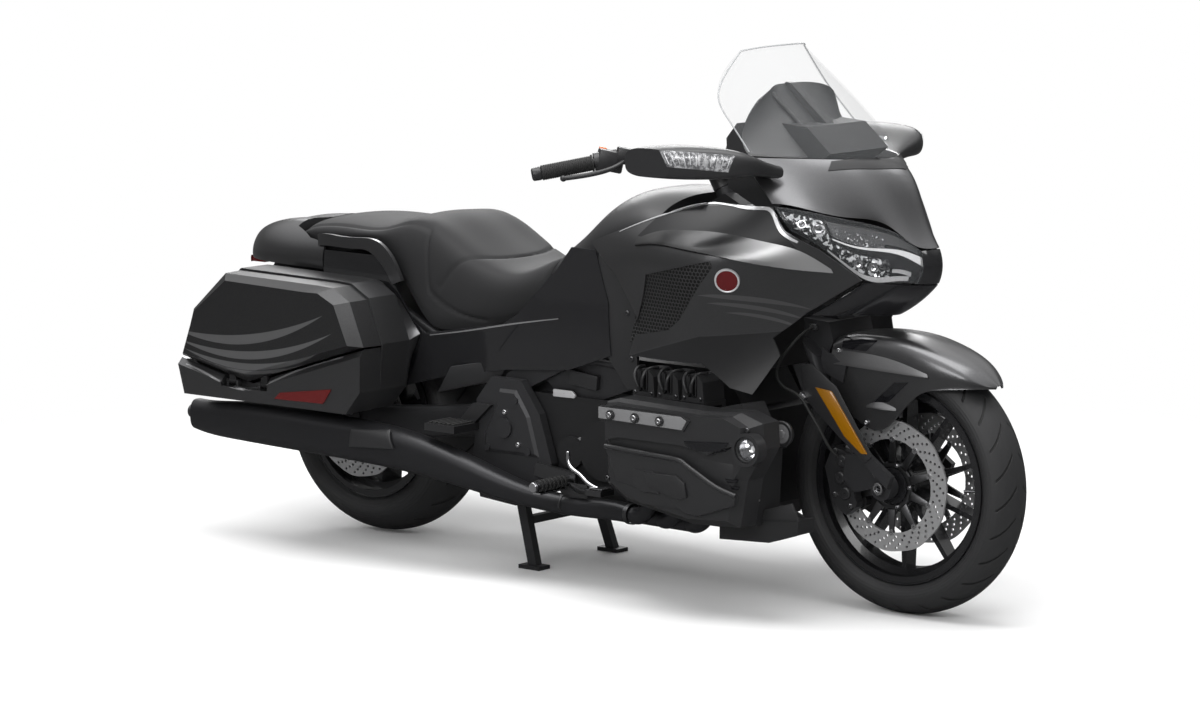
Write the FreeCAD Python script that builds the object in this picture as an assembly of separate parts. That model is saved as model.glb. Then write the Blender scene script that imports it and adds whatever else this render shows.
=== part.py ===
import FreeCAD, Part
import os
from math import sin, cos, tan, radians, pi, sqrt, hypot

# Touring cruiser motorcycle with side saddlebags, standing on its centre stand.
# Millimetres. +X forward, +Y to the rider's left, +Z up. Origin on the floor,
# midway along the length, on the centre line.

V = FreeCAD.Vector

# Wheels and steering
WHEELBASE = 1695.0
FRONT_R = 319.6
ENGINE_NOSE = 566.0   # front face of the engine
TYRE_GAP = 32.4       # between the engine and the front tyre
FRONT_X = ENGINE_NOSE + TYRE_GAP + FRONT_R
REAR_X = FRONT_X - WHEELBASE
FRONT_HALF = 65.0
REAR_R = 313.2
REAR_HALF = 100.0
REAR_LIFT = 6.0
REAR_Z = REAR_R + REAR_LIFT
RAKE = radians(30.5)
TRAIL = 109.0
AXIS = V(-sin(RAKE), 0, cos(RAKE))
RUN = 0.05            # radial running clearance
SEAM = 0.3            # clearance between neighbouring panels
SEAT_ON = 0.3         # clearance of a part seated on its carrier
WALL = 3.0            # cowl wall
BAG_WALL = 4.0        # saddlebag wall
FRONT_DISC_R = 160.0
FRONT_DISC_Y = 72.0
REAR_DISC_R = 158.0
REAR_DISC_Y = -118.0
DISC_T = 5.0
FRONT_AXLE_R = 11.0
REAR_AXLE_R = 20.0

# Handlebar pivot, parallel to the steering axis
BAR_PIVOT = V(352.0, 0, 985.0)
BAR_PIN_R = 12.0

# Stands
CENTRE_PIVOT = V(-200.0, 0, 216.0)
CENTRE_PIN_R = 9.0
STAND_LUG_Y = 153.0
SIDE_PIVOT = V(-40.0, 196.0, 213.0)
SIDE_AXIS = V(0, -0.932, -0.362)
SIDE_PIN_R = 7.0

# Tail cowl's flat underside
TAIL_Z = 716.0

# Seat
SEAT_FRONT = -120.0
SEAT_CROSS = (603.9, 605.5)   # height of the seat's support, rear and front
SEAT_REAR_Z = 768.0   # underside of the passenger pad
SEAT_SAG = 12.0       # how far that underside sags between its stations

# Saddlebags
BAG_IN = 215.0        # inner wall
BAG_SPLIT = 345.0     # where the lid meets the body
BAG_OUT = 438.0       # lid's outer face
BAG_HINGE_Y = 400.0
BAG_HINGE_Z = 432.0
HINGE_X = (REAR_X - 183.0, REAR_X - 69.0)
LID_GAP = 5.0         # between the lid's lower edge and the sill
SILL_BEVEL = 16.0     # bevel of the sill's outer edge, clear of the lid as it swings out
BAG_PIN_R = 3.0


def steer_point(z):
    """Point of the raked steering axis at height z."""
    return V(FRONT_X + TRAIL - tan(RAKE) * z, 0, z)


def from_front(points):
    """(x, z) points given from the front axle."""
    return [(FRONT_X + x, FRONT_R + z) for x, z in points]


def from_rear(points):
    """(x, z) points given from the rear axle."""
    return [(REAR_X + x, REAR_Z + z) for x, z in points]


def aft(points):
    """(x, z) points whose x is given from the rear axle and z from the floor."""
    return [(REAR_X + x, z) for x, z in points]


def mirrored(shape):
    return shape.mirror(V(0, 0, 0), V(0, 1, 0))


def pair(shape):
    """The shape and its mirror image as two separate solids."""
    return Part.makeCompound([shape, mirrored(shape)])


def fuse(parts):
    out = parts[0]
    if len(parts) > 1:
        out = out.multiFuse(parts[1:])
    return out.removeSplitter()


def box(x0, x1, y0, y1, z0, z1):
    return Part.makeBox(x1 - x0, y1 - y0, z1 - z0, V(x0, y0, z0))


def polygon(points):
    return Part.makePolygon([V(*p) for p in list(points) + [points[0]]])


def prism(outline, y0, y1):
    """Block with a side-view (x, z) outline, from y0 to y1."""
    face = Part.Face(polygon([(x, y0, z) for x, z in outline]))
    return face.extrude(V(0, y1 - y0, 0))


def plan_prism(outline, z0, z1):
    """Block with a plan-view (x, y) outline, from z0 to z1."""
    face = Part.Face(polygon([(x, y, z0) for x, y in outline]))
    return face.extrude(V(0, 0, z1 - z0))


def bar(p, q, r):
    d = q.sub(p)
    return Part.makeCylinder(r, d.Length, p, d)


def ring(p, q, r, bore):
    return bar(p, q, r).cut(bar(p, q, bore))


def rounded(shape, r, keep=None):
    """Fillet the edges that keep accepts, or leave the shape plain."""
    edges = [e for e in shape.Edges if keep is None or keep(e)]
    return shape.makeFillet(r, edges)


def pipe(points, r, bore=0.0):
    """Round bar or tube along a smooth curve through the points."""
    curve = Part.BSplineCurve()
    curve.interpolate([V(*p) for p in points])
    path = Part.Wire(curve.toShape())
    start, way = curve.value(curve.FirstParameter), curve.tangent(curve.FirstParameter)[0]
    outer = path.makePipeShell([Part.Wire(Part.makeCircle(r, start, way))], True, False)
    if bore:
        inner = path.makePipeShell([Part.Wire(Part.makeCircle(bore, start, way))], True, False)
        return outer.cut(inner)
    return outer


def oval_wire(x, y, z, ry, rz, power=2.0, flat=0.0, n=12):
    """Closed rounded section in the plane x; a higher power is squarer."""
    points = []
    for k in range(n):
        a = 2 * pi * k / n
        c, s = cos(a), sin(a)
        py = ry * abs(c) ** (2 / power) * (1 if c >= 0 else -1)
        pz = rz * abs(s) ** (2 / power) * (1 if s >= 0 else -1)
        points.append(V(x + flat * pz, y + py, z + pz))
    curve = Part.BSplineCurve()
    curve.interpolate(points, True)
    return Part.Wire(curve.toShape())


def loft(wires, ruled=False):
    return Part.makeLoft(wires, True, ruled)


def revolve(section, centre, axis=V(0, 1, 0)):
    """Solid of revolution of a closed (y, r) wire about an axle at centre."""
    return Part.Face(section).revolve(centre, axis, 360)


def unit_normals(rows):
    n, m = len(rows), len(rows[0])
    out = []
    for i in range(n):
        line = []
        for j in range(m):
            du = rows[min(i + 1, n - 1)][j].sub(rows[max(i - 1, 0)][j])
            dv = rows[i][min(j + 1, m - 1)].sub(rows[i][max(j - 1, 0)])
            line.append(du.cross(dv).normalize())
        out.append(line)
    return out


def mean_params(rows):
    """Chord-length parameters from 0 to 1, averaged over the rows."""
    total = [0.0] * len(rows[0])
    for row in rows:
        run = [0.0]
        for p, q in zip(row, row[1:]):
            run.append(run[-1] + q.sub(p).Length)
        total = [t + d / run[-1] for t, d in zip(total, run)]
    return [t / len(rows) for t in total]


def basis(u, knots, degree, n):
    """Values of the n clamped basis functions at u."""
    if u >= 1.0 - 1e-9:
        return [0.0] * (n - 1) + [1.0]
    b = [1.0 if knots[i] <= u < knots[i + 1] else 0.0 for i in range(len(knots) - 1)]
    for d in range(1, degree + 1):
        for i in range(len(knots) - d - 1):
            lo, hi = knots[i + d] - knots[i], knots[i + d + 1] - knots[i + 1]
            left = (u - knots[i]) / lo * b[i] if lo > 0 else 0.0
            right = (knots[i + d + 1] - u) / hi * b[i + 1] if hi > 0 else 0.0
            b[i] = left + right
    return b[:n]


def poles_through(lines, params, knots, degree):
    """Control points of curves that pass through the points of each line."""
    n = len(params)
    a = [basis(u, knots, degree, n) for u in params]
    rhs = [[V(line[i]) for line in lines] for i in range(n)]
    for i in range(n):
        k = max(range(i, n), key=lambda r: abs(a[r][i]))
        a[i], a[k], rhs[i], rhs[k] = a[k], a[i], rhs[k], rhs[i]
        for r in range(n):
            f = a[r][i] / a[i][i]
            if r != i and f:
                a[r] = [x - f * y for x, y in zip(a[r], a[i])]
                rhs[r] = [x.sub(V(y).multiply(f)) for x, y in zip(rhs[r], rhs[i])]
    rhs = [[x.multiply(1.0 / a[i][i]) for x in rhs[i]] for i in range(n)]
    return [[rhs[i][j] for i in range(n)] for j in range(len(lines))]


def surface(rows):
    """Smooth surface through every point of the grid, parametrised by mean chord length."""
    across = [[row[j] for row in rows] for j in range(len(rows[0]))]
    spec = []
    for params in (mean_params(across), mean_params(rows)):
        degree = min(3, len(params) - 1)
        inner = [sum(params[j:j + degree]) / degree for j in range(1, len(params) - degree)]
        spec.append((params, degree, inner, [0.0] * (degree + 1) + inner + [1.0] * (degree + 1)))
    (pu, du, iu, ku), (pv, dv, iv, kv) = spec
    half = poles_through(rows, pv, kv, dv)
    poles = poles_through([[r[j] for r in half] for j in range(len(half[0]))], pu, ku, du)
    poles = [[poles[j][i] for j in range(len(poles))] for i in range(len(rows))]
    s = Part.BSplineSurface()
    s.buildFromPolesMultsKnots(poles, [du + 1] + [1] * len(iu) + [du + 1], [dv + 1] + [1] * len(iv) + [dv + 1],
                               [0.0] + iu + [1.0], [0.0] + iv + [1.0], False, False, du, dv)
    return s


def between(front, back):
    """Closed solid between two surfaces laid through grids of the same size."""
    a, b = surface(front), surface(back)
    u0, u1, v0, v1 = a.bounds()
    p0, p1, q0, q1 = b.bounds()
    faces = [a.toShape(), b.toShape()]
    for c, d in ((a.uIso(u0), b.uIso(p0)), (a.uIso(u1), b.uIso(p1)),
                 (a.vIso(v0), b.vIso(q0)), (a.vIso(v1), b.vIso(q1))):
        faces.append(Part.makeRuledSurface(c.toShape(), d.toShape()))
    shell = Part.makeShell(faces)
    shell.sewShape()
    solid = Part.makeSolid(shell)
    if solid.Volume < 0:
        solid.reverse()
    return solid


def panel(rows, t, inside):
    """Panel of thickness t behind the outer grid, on the side of the point inside."""
    rows = [[V(*p) for p in row] for row in rows]
    normals = unit_normals(rows)
    mid = rows[len(rows) // 2][len(rows[0]) // 2]
    way = normals[len(rows) // 2][len(rows[0]) // 2].dot(V(*inside).sub(mid))
    t = t if way > 0 else -t
    back = [[p.add(V(q).multiply(t)) for p, q in zip(r, n)] for r, n in zip(rows, normals)]
    return between(rows, back)


def clear_of(shape, other, gap=SEAM):
    """The shape cut back so that it stays a gap away from the other one; its largest solid."""
    for x, y, z in ((gap, 0, 0), (-gap, 0, 0), (0, gap, 0), (0, -gap, 0), (0, 0, gap), (0, 0, -gap)):
        tool = other.copy()
        tool.translate(V(x, y, z))
        shape = shape.cut(tool)
    return max(shape.Solids, key=lambda solid: solid.Volume)


def full_rows(rows):
    """Rows given from the centre line outwards on the right, completed to the left."""
    return [[(x, -y, z) for x, y, z in reversed(row[1:])] + list(row) for row in rows]


# Wheels


def tyre(centre, r_out, half, seat_r, flange_r, bead):
    """Open tyre carcass: spline crown outside, offset spline inside."""
    t = 9.0
    b = bead - SEAM

    def arc(points):
        curve = Part.BSplineCurve()
        curve.interpolate([centre.add(V(0, y, r)) for y, r in points])
        return curve.toShape()

    mid = flange_r + 0.45 * (r_out - flange_r)
    outer = [(-b, flange_r + 2), (-half, mid), (-half * 0.78, r_out - half * 0.27), (0, r_out),
             (half * 0.78, r_out - half * 0.27), (half, mid), (b, flange_r + 2)]
    inner = [(-b + t, flange_r), (-half + t, mid), (-half * 0.72, r_out - half * 0.27 - t), (0, r_out - t),
             (half * 0.72, r_out - half * 0.27 - t), (half - t, mid), (b - t, flange_r)]
    low = seat_r + SEAM

    def line(p, q):
        return Part.makeLine(centre.add(V(0, p[0], p[1])), centre.add(V(0, q[0], q[1])))

    edges = [arc(outer), line(outer[-1], (b, low)), line((b, low), (b - t, low)),
             line((b - t, low), inner[-1]), arc(inner), line(inner[0], (-b + t, low)),
             line((-b + t, low), (-b, low)), line((-b, low), outer[0])]
    return revolve(Part.Wire(Part.__sortEdges__(edges)), centre)


def barrel(centre, half, seat_r, flange_r, drop_r, drop_half):
    t = 5.0
    outside = [(-half, flange_r), (-half + t, flange_r), (-half + t + 1, seat_r), (-drop_half, seat_r),
               (-drop_half + 8, drop_r), (drop_half - 8, drop_r), (drop_half, seat_r),
               (half - t - 1, seat_r), (half - t, flange_r), (half, flange_r)]
    inside = [(half, seat_r - t), (drop_half + 3, seat_r - t), (drop_half - 6, drop_r - t),
              (-drop_half + 6, drop_r - t), (-drop_half - 3, seat_r - t), (-half, seat_r - t)]
    wire = polygon([tuple(centre.add(V(0, y, r))) for y, r in outside + inside])
    return revolve(wire, centre)


def spokes(centre, count, r0, r1, w0, w1, y0, y1, depth0, depth1):
    """Tapered cast spokes from the hub at r0 out to the barrel at r1."""
    out = []
    for k in range(count):
        def rect(r, w, y, d):
            return polygon([(centre.x - w, y - d, centre.z + r), (centre.x + w, y - d, centre.z + r),
                            (centre.x + w, y + d, centre.z + r), (centre.x - w, y + d, centre.z + r)])
        s = loft([rect(r0, w0, y0, depth0), rect(r1, w1, y1, depth1)], True)
        s.rotate(centre, V(0, 1, 0), 360.0 * k / count)
        out.append(s)
    return out


def disc(centre, y, r, inner, carrier_r, arms):
    """Brake disc with its carrier's arms down to a ring on the hub."""
    c0, c1 = V(centre.x, y - DISC_T / 2, centre.z), V(centre.x, y + DISC_T / 2, centre.z)
    plate = ring(c0, c1, r, inner)
    hub = ring(c0, c1, carrier_r + 9, carrier_r)
    out = [plate, hub]
    for k in range(arms):
        a = box(centre.x - 6, centre.x + 6, y - DISC_T / 2, y + DISC_T / 2,
                centre.z + carrier_r + 4, centre.z + inner + 3)
        a.rotate(V(centre.x, y, centre.z), V(0, 1, 0), 360.0 * k / arms)
        out.append(a)
    return fuse(out)


FRONT_C = V(FRONT_X, 0, FRONT_R)
REAR_C = V(REAR_X, 0, REAR_Z)
FRONT_HUB_HALF = 66.0
REAR_HUB = (-112.0, 60.0)
DISC_BORE_F = 45.0
DISC_BORE_R = 62.0


def front_tyre():
    return tyre(FRONT_C, FRONT_R, FRONT_HALF, 229.0, 241.0, 44.0)


def rear_tyre():
    return tyre(REAR_C, REAR_R, REAR_HALF, 203.5, 216.0, 80.0)


def front_rim():
    rim = barrel(FRONT_C, 50.0, 228.7, 241.0, 212.0, 26.0)
    y = FRONT_DISC_Y + 4
    seats = ring(V(FRONT_X, -y, FRONT_R), V(FRONT_X, y, FRONT_R), DISC_BORE_F - SEAM, FRONT_AXLE_R)
    flanges = []
    for side in (-1, 1):
        p = V(FRONT_X, side * FRONT_HUB_HALF, FRONT_R)
        flanges.append(ring(p, p.add(V(0, -side * 10, 0)), 60, FRONT_AXLE_R + 10))
    return fuse([rim, seats] + flanges + spokes(FRONT_C, 10, 30, 209.5, 7, 6, 0, 0, 30, 20))


def rear_rim():
    rim = barrel(REAR_C, 86.0, 203.2, 216.0, 186.0, 50.0)
    hub = bar(V(REAR_X, REAR_HUB[0], REAR_Z), V(REAR_X, REAR_HUB[1], REAR_Z), 55)
    seat = bar(V(REAR_X, REAR_DISC_Y - 4, REAR_Z), V(REAR_X, 0, REAR_Z), DISC_BORE_R - SEAM)
    flange = bar(V(REAR_X, REAR_DISC_Y + DISC_T / 2 + SEAT_ON, REAR_Z), V(REAR_X, -95, REAR_Z), 78)
    body = fuse([rim, hub, seat, flange] + spokes(REAR_C, 10, 45, 183.5, 9, 7, 0, 0, 45, 38))
    body = body.cut(bar(V(REAR_X, -140, REAR_Z), V(REAR_X, 140, REAR_Z), REAR_AXLE_R))
    cap = bar(V(REAR_X, 50, REAR_Z), V(REAR_X, 84, REAR_Z), 30)
    return fuse([body, cap.cut(bar(V(REAR_X, 40, REAR_Z), V(REAR_X, 66 + SEAM, REAR_Z), REAR_AXLE_R))])


def front_discs():
    y = FRONT_DISC_Y
    return pair(disc(FRONT_C, -y, FRONT_DISC_R, 112.0, DISC_BORE_F, 10))


def rear_disc():
    return disc(REAR_C, REAR_DISC_Y, REAR_DISC_R, 110.0, DISC_BORE_R, 10)


def front_axle():
    """Hollow axle through both fork ends."""
    p, q = V(FRONT_X, -128, FRONT_R), V(FRONT_X, 128, FRONT_R)
    axle = bar(p, q, FRONT_AXLE_R - RUN)
    axle = axle.cut(bar(p, V(FRONT_X, -88, FRONT_R), 7.0))
    return axle


# Front end: cast fork, covers, calipers, wishbones


CALIPER_Y = FRONT_DISC_Y + 34
STEM_R = 26.0
LOWER_EYE = (756.0, 780.0)
UPPER_EYE = (862.0, 884.0)
EYE_END = 8.0         # the stem above the upper eye
KNUCKLE_TOP = UPPER_EYE[1] + EYE_END
LEG_Y = 104.0


def fork_leg():
    """Cast legs from above the tyre down to the axle, split clamps at the foot."""
    path = from_front([(-218, 320.4), (-180, 240.4), (-113, 150.4), (-50, 62.4), (0, 0)])
    wires = []
    for (x, z), ry, rx in zip(path, (20, 17, 15, 15, 16), (30, 28, 24, 22, 24)):
        w = oval_wire(0, 0, 0, ry, rx, 3.0)
        w.rotate(V(0, 0, 0), V(0, 1, 0), -48)
        w.translate(V(x, -LEG_Y, z))
        wires.append(w)
    leg = loft(wires)
    foot = bar(V(FRONT_X, -LEG_Y - 16, FRONT_R), V(FRONT_X, -LEG_Y + 16, FRONT_R), 30)
    leg = fuse([leg, foot])
    leg = leg.cut(bar(V(FRONT_X, -140, FRONT_R), V(FRONT_X, -80, FRONT_R), FRONT_AXLE_R - RUN))
    plate = prism(from_front([(-110, 72.4), (-50, 72.4), (-13, 0.4), (-80, -19.6), (-116, 10.4)]), -CALIPER_Y - 8, -CALIPER_Y - SEAT_ON)
    leg = fuse([leg, fork_cover(), fender_stay(), plate])
    return leg


def fork():
    """Both legs with their covers, and the bridge between them."""
    leg = fork_leg()
    return Part.makeCompound([leg, mirrored(leg), fork_bridge()])


def fork_bridge():
    """Bridge over the tyre, with the knuckle's stem up the steering axis."""
    y = LEG_Y - 20 - SEAM
    bridge = prism(from_front([(-256, 298.4), (-190, 290.4), (-170, 335.4), (-183, 380.4), (-258, 385.4)]), -y, y)
    arm = prism(from_front([(-318, 380.4), (-250, 380.4), (-254, 320.4), (-218, 320.4), (-188, 380.4), (-258, 425.4), (-328, 425.4)]), -30, 30)
    stem = bar(steer_point(FRONT_R + 392), steer_point(KNUCKLE_TOP), STEM_R)
    collar = bar(steer_point(FRONT_R + 416), steer_point(LOWER_EYE[0]).sub(V(AXIS).multiply(SEAM)), STEM_R + 8)
    return fuse([bridge, arm, stem, collar])


def fork_cover():
    """Slim cover over the outside of a leg, with a bed for the reflector."""
    outline = from_front([(-254, 276.4), (-218, 284.4), (-176, 228.4), (-34, 84.4), (40, 32.4), (28, 2.4), (-50, 64.4), (-218, 200.4)])
    return prism(outline, -LEG_Y - 30, -LEG_Y - 14)


def fork_reflectors():
    outline = from_front([(-218, 270.4), (-190, 228.4), (-44, 82.4), (-56, 78.4), (-218, 236.4)])
    y = LEG_Y + 30 + SEAT_ON
    return pair(prism(outline, -y - 5, -y))


def front_calipers():
    """Radial calipers straddling the discs behind the legs."""
    c = V(FRONT_X, 0, FRONT_R)
    block = prism(from_front([(-176, 32.4), (-154, 84.4), (-96, 72.4), (-72, 10.4), (-82, -57.6), (-112, -79.6), (-152, -51.6)]),
                  -CALIPER_Y, -FRONT_DISC_Y + 28)
    slot = bar(V(c.x, -FRONT_DISC_Y - 7, c.z), V(c.x, -FRONT_DISC_Y + 7, c.z), FRONT_DISC_R + 6)
    near = bar(V(c.x, -140, c.z), V(c.x, 0, c.z), 92)
    block = block.cut(slot).cut(near)
    return pair(block)


def wishbone(eye_z, root_x, root_z, t, spread):
    """Arm with an eye round the knuckle's stem and two legs back to the frame's head."""
    low, high = steer_point(eye_z[0]), steer_point(eye_z[1])
    mid = low.add(high).multiply(0.5)
    legs = []
    for side in (-1, 1):
        ends = []
        for x, y, z, w in ((mid.x, side * 26, mid.z, 14), (root_x, side * spread, root_z, 18)):
            ends.append(polygon([(x, y - w, z - t), (x, y + w, z - t), (x, y + w, z + t), (x, y - w, z + t)]))
        legs.append(loft(ends, True))
    body = fuse([bar(low, high, STEM_R + 13)] + legs)
    return body.cut(bar(steer_point(600), steer_point(1000), STEM_R + RUN))


def wishbones():
    """Upper and lower arms of the front suspension."""
    lower = wishbone(LOWER_EYE, HEAD_X1 + SEAT_ON, 764, 9, 62)
    upper = wishbone(UPPER_EYE, HEAD_SLOPE_X + SEAT_ON, 866, 8, 52)
    return Part.makeCompound([lower, upper])


def fender_rows():
    """Grid of the front fender: stations from behind the fork to the pointed tip."""
    stations = [  # x and the top, shoulder, side and lower-edge heights from the axle, half width
        (-170, 348, 335, 292, 246, 92), (-118, 360, 348, 280, 180, 95), (-63, 363, 351, 270, 142, 97),
        (-13, 362, 349, 265, 138, 97), (37, 357, 344, 270, 180, 96), (92, 346, 332, 275, 232, 94),
        (152, 328, 314, 277, 248, 86), (208, 300, 289, 270, 252, 66), (240, 274, 268, 260, 252, 38),
        (256, 258, 256, 254, 251, 14)]
    rows = []
    for dx, top, sh, side, low, w in stations:
        x, top, sh, side, low = FRONT_X + dx, FRONT_R + top, FRONT_R + sh, FRONT_R + side, FRONT_R + low
        rows.append([(x, 0, top), (x, -0.55 * w, top - 0.25 * (top - sh)), (x, -0.88 * w, sh - 4),
                     (x, -w, side), (x, -w - 1, low)])
    return full_rows(rows)


def front_fender():
    return panel(fender_rows(), WALL, (960, 0, 300))


def fender_stay():
    """Bracket from a leg up to the fender's side."""
    return prism(from_front([(-198, 265.4), (-128, 240.4), (-118, 280.4), (-188, 320.4)]), -LEG_Y + 2, -98 - SEAT_ON)


# Engine and what hangs on it


LOWER_ARM = 74.6      # wishbones, from root to the steering axis
UPPER_ARM = 50.2
HEAD_X0 = 385.0
SHELTER_FRONT = 300.0
SHELTER_LOW = 850.0   # underside of the top shelter at its front
HEAD_X1 = steer_point((LOWER_EYE[0] + LOWER_EYE[1]) / 2).x - LOWER_ARM
HEAD_SLOPE_X = steer_point((UPPER_EYE[0] + UPPER_EYE[1]) / 2 + 1).x - UPPER_ARM
ENGINE = (-70.0, ENGINE_NOSE, 232.0, 176.0, 560.0)


def engine_block():
    x0, x1, w, z0, z1 = ENGINE
    core = box(x0, x1, -w, w, z0 + 60, z1 - 90)
    sump = prism([(x0 + 40, z0 + 60), (x1 - 40, z0 + 60), (x1 - 90, z0), (x0 + 90, z0)], -150, 150)
    top = prism([(x0 + 60, z1 - 90), (x0 + 110, z1), (x1 - 120, z1), (x1 - 60, z1 - 90)], -120, 120)
    heads = box(300, x1 - 6, -322, 322, 268, 468)
    cases = [bar(V(168, -w - 20, 346), V(168, w + 20, 346), 76), bar(V(54, -w - 12, 330), V(54, w + 12, 330), 40)]
    return fuse([core, sump, top, heads] + cases)


def slab(outline, y0, y1, bevel=0.0):
    """Plate with an (x, z) outline from y0 out to y1, its outer face shrunk by the bevel."""
    cx = sum(x for x, z in outline) / len(outline)
    cz = sum(z for x, z in outline) / len(outline)
    k = 1 - bevel * len(outline) / sum(hypot(x - cx, z - cz) for x, z in outline)
    outer = [(cx + (x - cx) * k, y1, cz + (z - cz) * k) for x, z in outline]
    return loft([polygon([(x, y0, z) for x, z in outline]), polygon(outer)], True)


def head_cover():
    """Right head cover: bevelled shell with raised fields, front louvres and a plate with three bolt lugs."""
    y0 = -322 - SEAM
    outline = [(292, 300), (290, 500), (330, 512), (596, 506), (700, 512), (766, 492), (770, 430),
               (722, 352), (700, 236), (560, 228), (352, 262)]
    upper = [(298, 408), (296, 498), (334, 506), (594, 500), (694, 506), (752, 486), (752, 446), (640, 404),
             (560, 420), (340, 420)]
    belly = [(322, 300), (330, 376), (470, 378), (505, 346), (580, 344), (650, 300), (628, 262), (420, 262)]
    pad = [(398, 318), (400, 356), (470, 356), (512, 318), (490, 296), (430, 296)]
    body = fuse([slab(outline, y0, y0 - 60), slab(outline, y0 - 60, y0 - 90, 24),
                 slab(upper, y0 - 62, y0 - 104, 16), slab(belly, y0 - 62, y0 - 98, 14), slab(pad, y0 - 90, y0 - 106, 8)])
    for k in range(3):
        slot = box(598, 690, y0 - 120, y0 - 78, -3, 3)
        slot.rotate(V(644, 0, 0), V(0, 1, 0), -9)
        slot.translate(V(0, 0, 380 - 15 * k))
        body = body.cut(slot)
    lamp = bar(V(745, y0 - 130, 432), V(745, y0 - 60, 432), 31 + SEAM)
    hood = ring(V(745, y0 - 70, 432), V(745, y0 - 104, 432), 40, 31 + SEAM)
    plate = slab([(300, 462), (300, 496), (560, 496), (586, 486), (566, 458)], y0 - 95, y0 - 109, 4)
    lugs = [bar(V(x, y0 - 104, 477), V(x, y0 - 115, 477), 12) for x in (342, 418, 494)]
    return body.cut(lamp).multiFuse([hood, plate] + lugs)


def head_covers():
    return pair(head_cover())


def aux_lamp():
    """Round lamp set in the front of the right head cover."""
    y0 = -322 - SEAM
    return bar(V(745, y0 - 98, 432), V(745, y0 - 60 - SEAM, 432), 31)


def intake_covers():
    """Three ribbed covers above each bank."""
    out = []
    for k in range(3):
        x = 302 + 76 * k
        block = prism([(x, 506), (x + 4, 556), (x + 18, 572), (x + 50, 572), (x + 64, 556), (x + 68, 506)],
                      -300, -218)
        out.append(block.cut(box(x + 20, x + 48, -301, -290, 518, 573)))
    rail = box(300, 524, -296, -216, 496, 507)
    base = box(300, 524, -230, -216, ENGINE[4] - 90 + SEAT_ON, 507)
    return pair(fuse(out + [rail, base]))


def radiators():
    """Side radiators in their shrouds on both sides of the front wheel, each over a lower shroud."""
    core = prism([(575, 226), (585, 505), (655, 520), (712, 420), (700, 230)], -322, -234)
    low = prism([(572, 182), (572, 232), (700, 240), (808, 252), (806, 218), (722, 190)], -300, -234)
    return pair(fuse([core, low]))


# Frame


PIVOT_Y = (238.0, 262.0)


def head_block():
    """Cast head of the frame, which carries the wishbones and the front stay."""
    x = HEAD_SLOPE_X
    low = ENGINE[4] + SEAT_ON
    body = prism([(HEAD_X0, low), (HEAD_X0, 915), (x - 40, 915), (x, 858), (HEAD_X1, 790), (HEAD_X1, low + 40),
                  (HEAD_X1 - 60, low)], -95, 95)
    return fuse([body, cowl_stay(), bar_pivot(), shelter_tongue()])


def shelter_tongue():
    """Tongue back from the frame's head that carries the top shelter."""
    top = [(252, 839.6), (SHELTER_FRONT, SHELTER_LOW - 0.6), (SHELTER_FRONT + 2, 880)]
    return prism([(252, 812)] + top + [(HEAD_X0 + 10, 880), (HEAD_X0 + 10, 812)], -60, 60)


def frame_spar(side):
    """Box-section spar from the head block back to the pivot plate."""
    def rect(x, y, z, w, h):
        return polygon([(x, side * (y - w), z - h), (x, side * (y + w), z - h),
                        (x, side * (y + w), z + h), (x, side * (y - w), z + h)])
    y = PIVOT_Y[0] - SEAT_ON - 18
    ends = [(HEAD_X0 - SEAT_ON, 78, 760, 16, 60), (250, 180, 690, 18, 50), (60, y, 590, 18, 40),
            (-80, y, 522, 18, 40), (-160, y, 466, 18, 40)]
    return loft([rect(*e) for e in ends], True)


def frame_rails():
    """Main spars on both sides, and the seat rails with their cross member."""
    cross = prism([(-330, 530), (-330, SEAT_CROSS[0]), (-296, SEAT_CROSS[1]), (-296, 530)], -168, 168)
    return Part.makeCompound([frame_spar(-1), frame_spar(1), fuse([seat_rail(-1), seat_rail(1), cross])])


def pivot_plates():
    """Cast plates that carry the swingarm pivot, the stands and the rider's pegs."""
    outline = [(-250, 300), (-238, 440), (-190, 500), (-90, 500), (-30, 420), (10, 300), (-20, 196),
               (-110, 180), (-228, 190)]
    y0, y1 = PIVOT_Y
    plate = prism(outline, -y1, -y0)
    relief = slab([(-210, 308), (-210, 352), (-168, 436), (-160, 474), (-104, 474), (-60, 410), (-30, 310)],
                  -y1, -y1 - 6, 10)
    cap = bar(V(SWING_X, -y1, SWING_Z), V(SWING_X, -y1 - 12, SWING_Z), 26)
    bolts = [bar(V(x, -y1, z), V(x, -y1 - 10, z), 9) for x, z in ((-104, 448), (-62, 322), (-196, 322))]
    plate = fuse([plate, relief, cap] + bolts)
    left = fuse([mirrored(plate), side_pin()])
    return Part.makeCompound([plate, left, frame_cross(), swing_pivot()])


def frame_cross():
    """Cross member between the pivot plates, with the lugs and rod of the centre stand."""
    y = PIVOT_Y[0] - SEAT_ON
    c = CENTRE_PIVOT
    beam = box(-128, -80, -y, y, 250, 290)
    lug = prism([(-128, 250), (-80, 252), (-80, 290), (-128, 290), (c.x - 16, c.z + 16), (c.x - 16, c.z - 16),
                 (c.x + 14, c.z - 14)], STAND_LUG_Y, STAND_LUG_Y + 14)
    rod = bar(V(c.x, -STAND_LUG_Y - 14, c.z), V(c.x, STAND_LUG_Y + 14, c.z), CENTRE_PIN_R - RUN)
    return fuse([beam, lug, mirrored(lug), rod])


def swing_pivot():
    y = PIVOT_Y[0] - SEAM
    return bar(V(SWING_X, -y, SWING_Z), V(SWING_X, y, SWING_Z), SWING_PIN_R)


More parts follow.
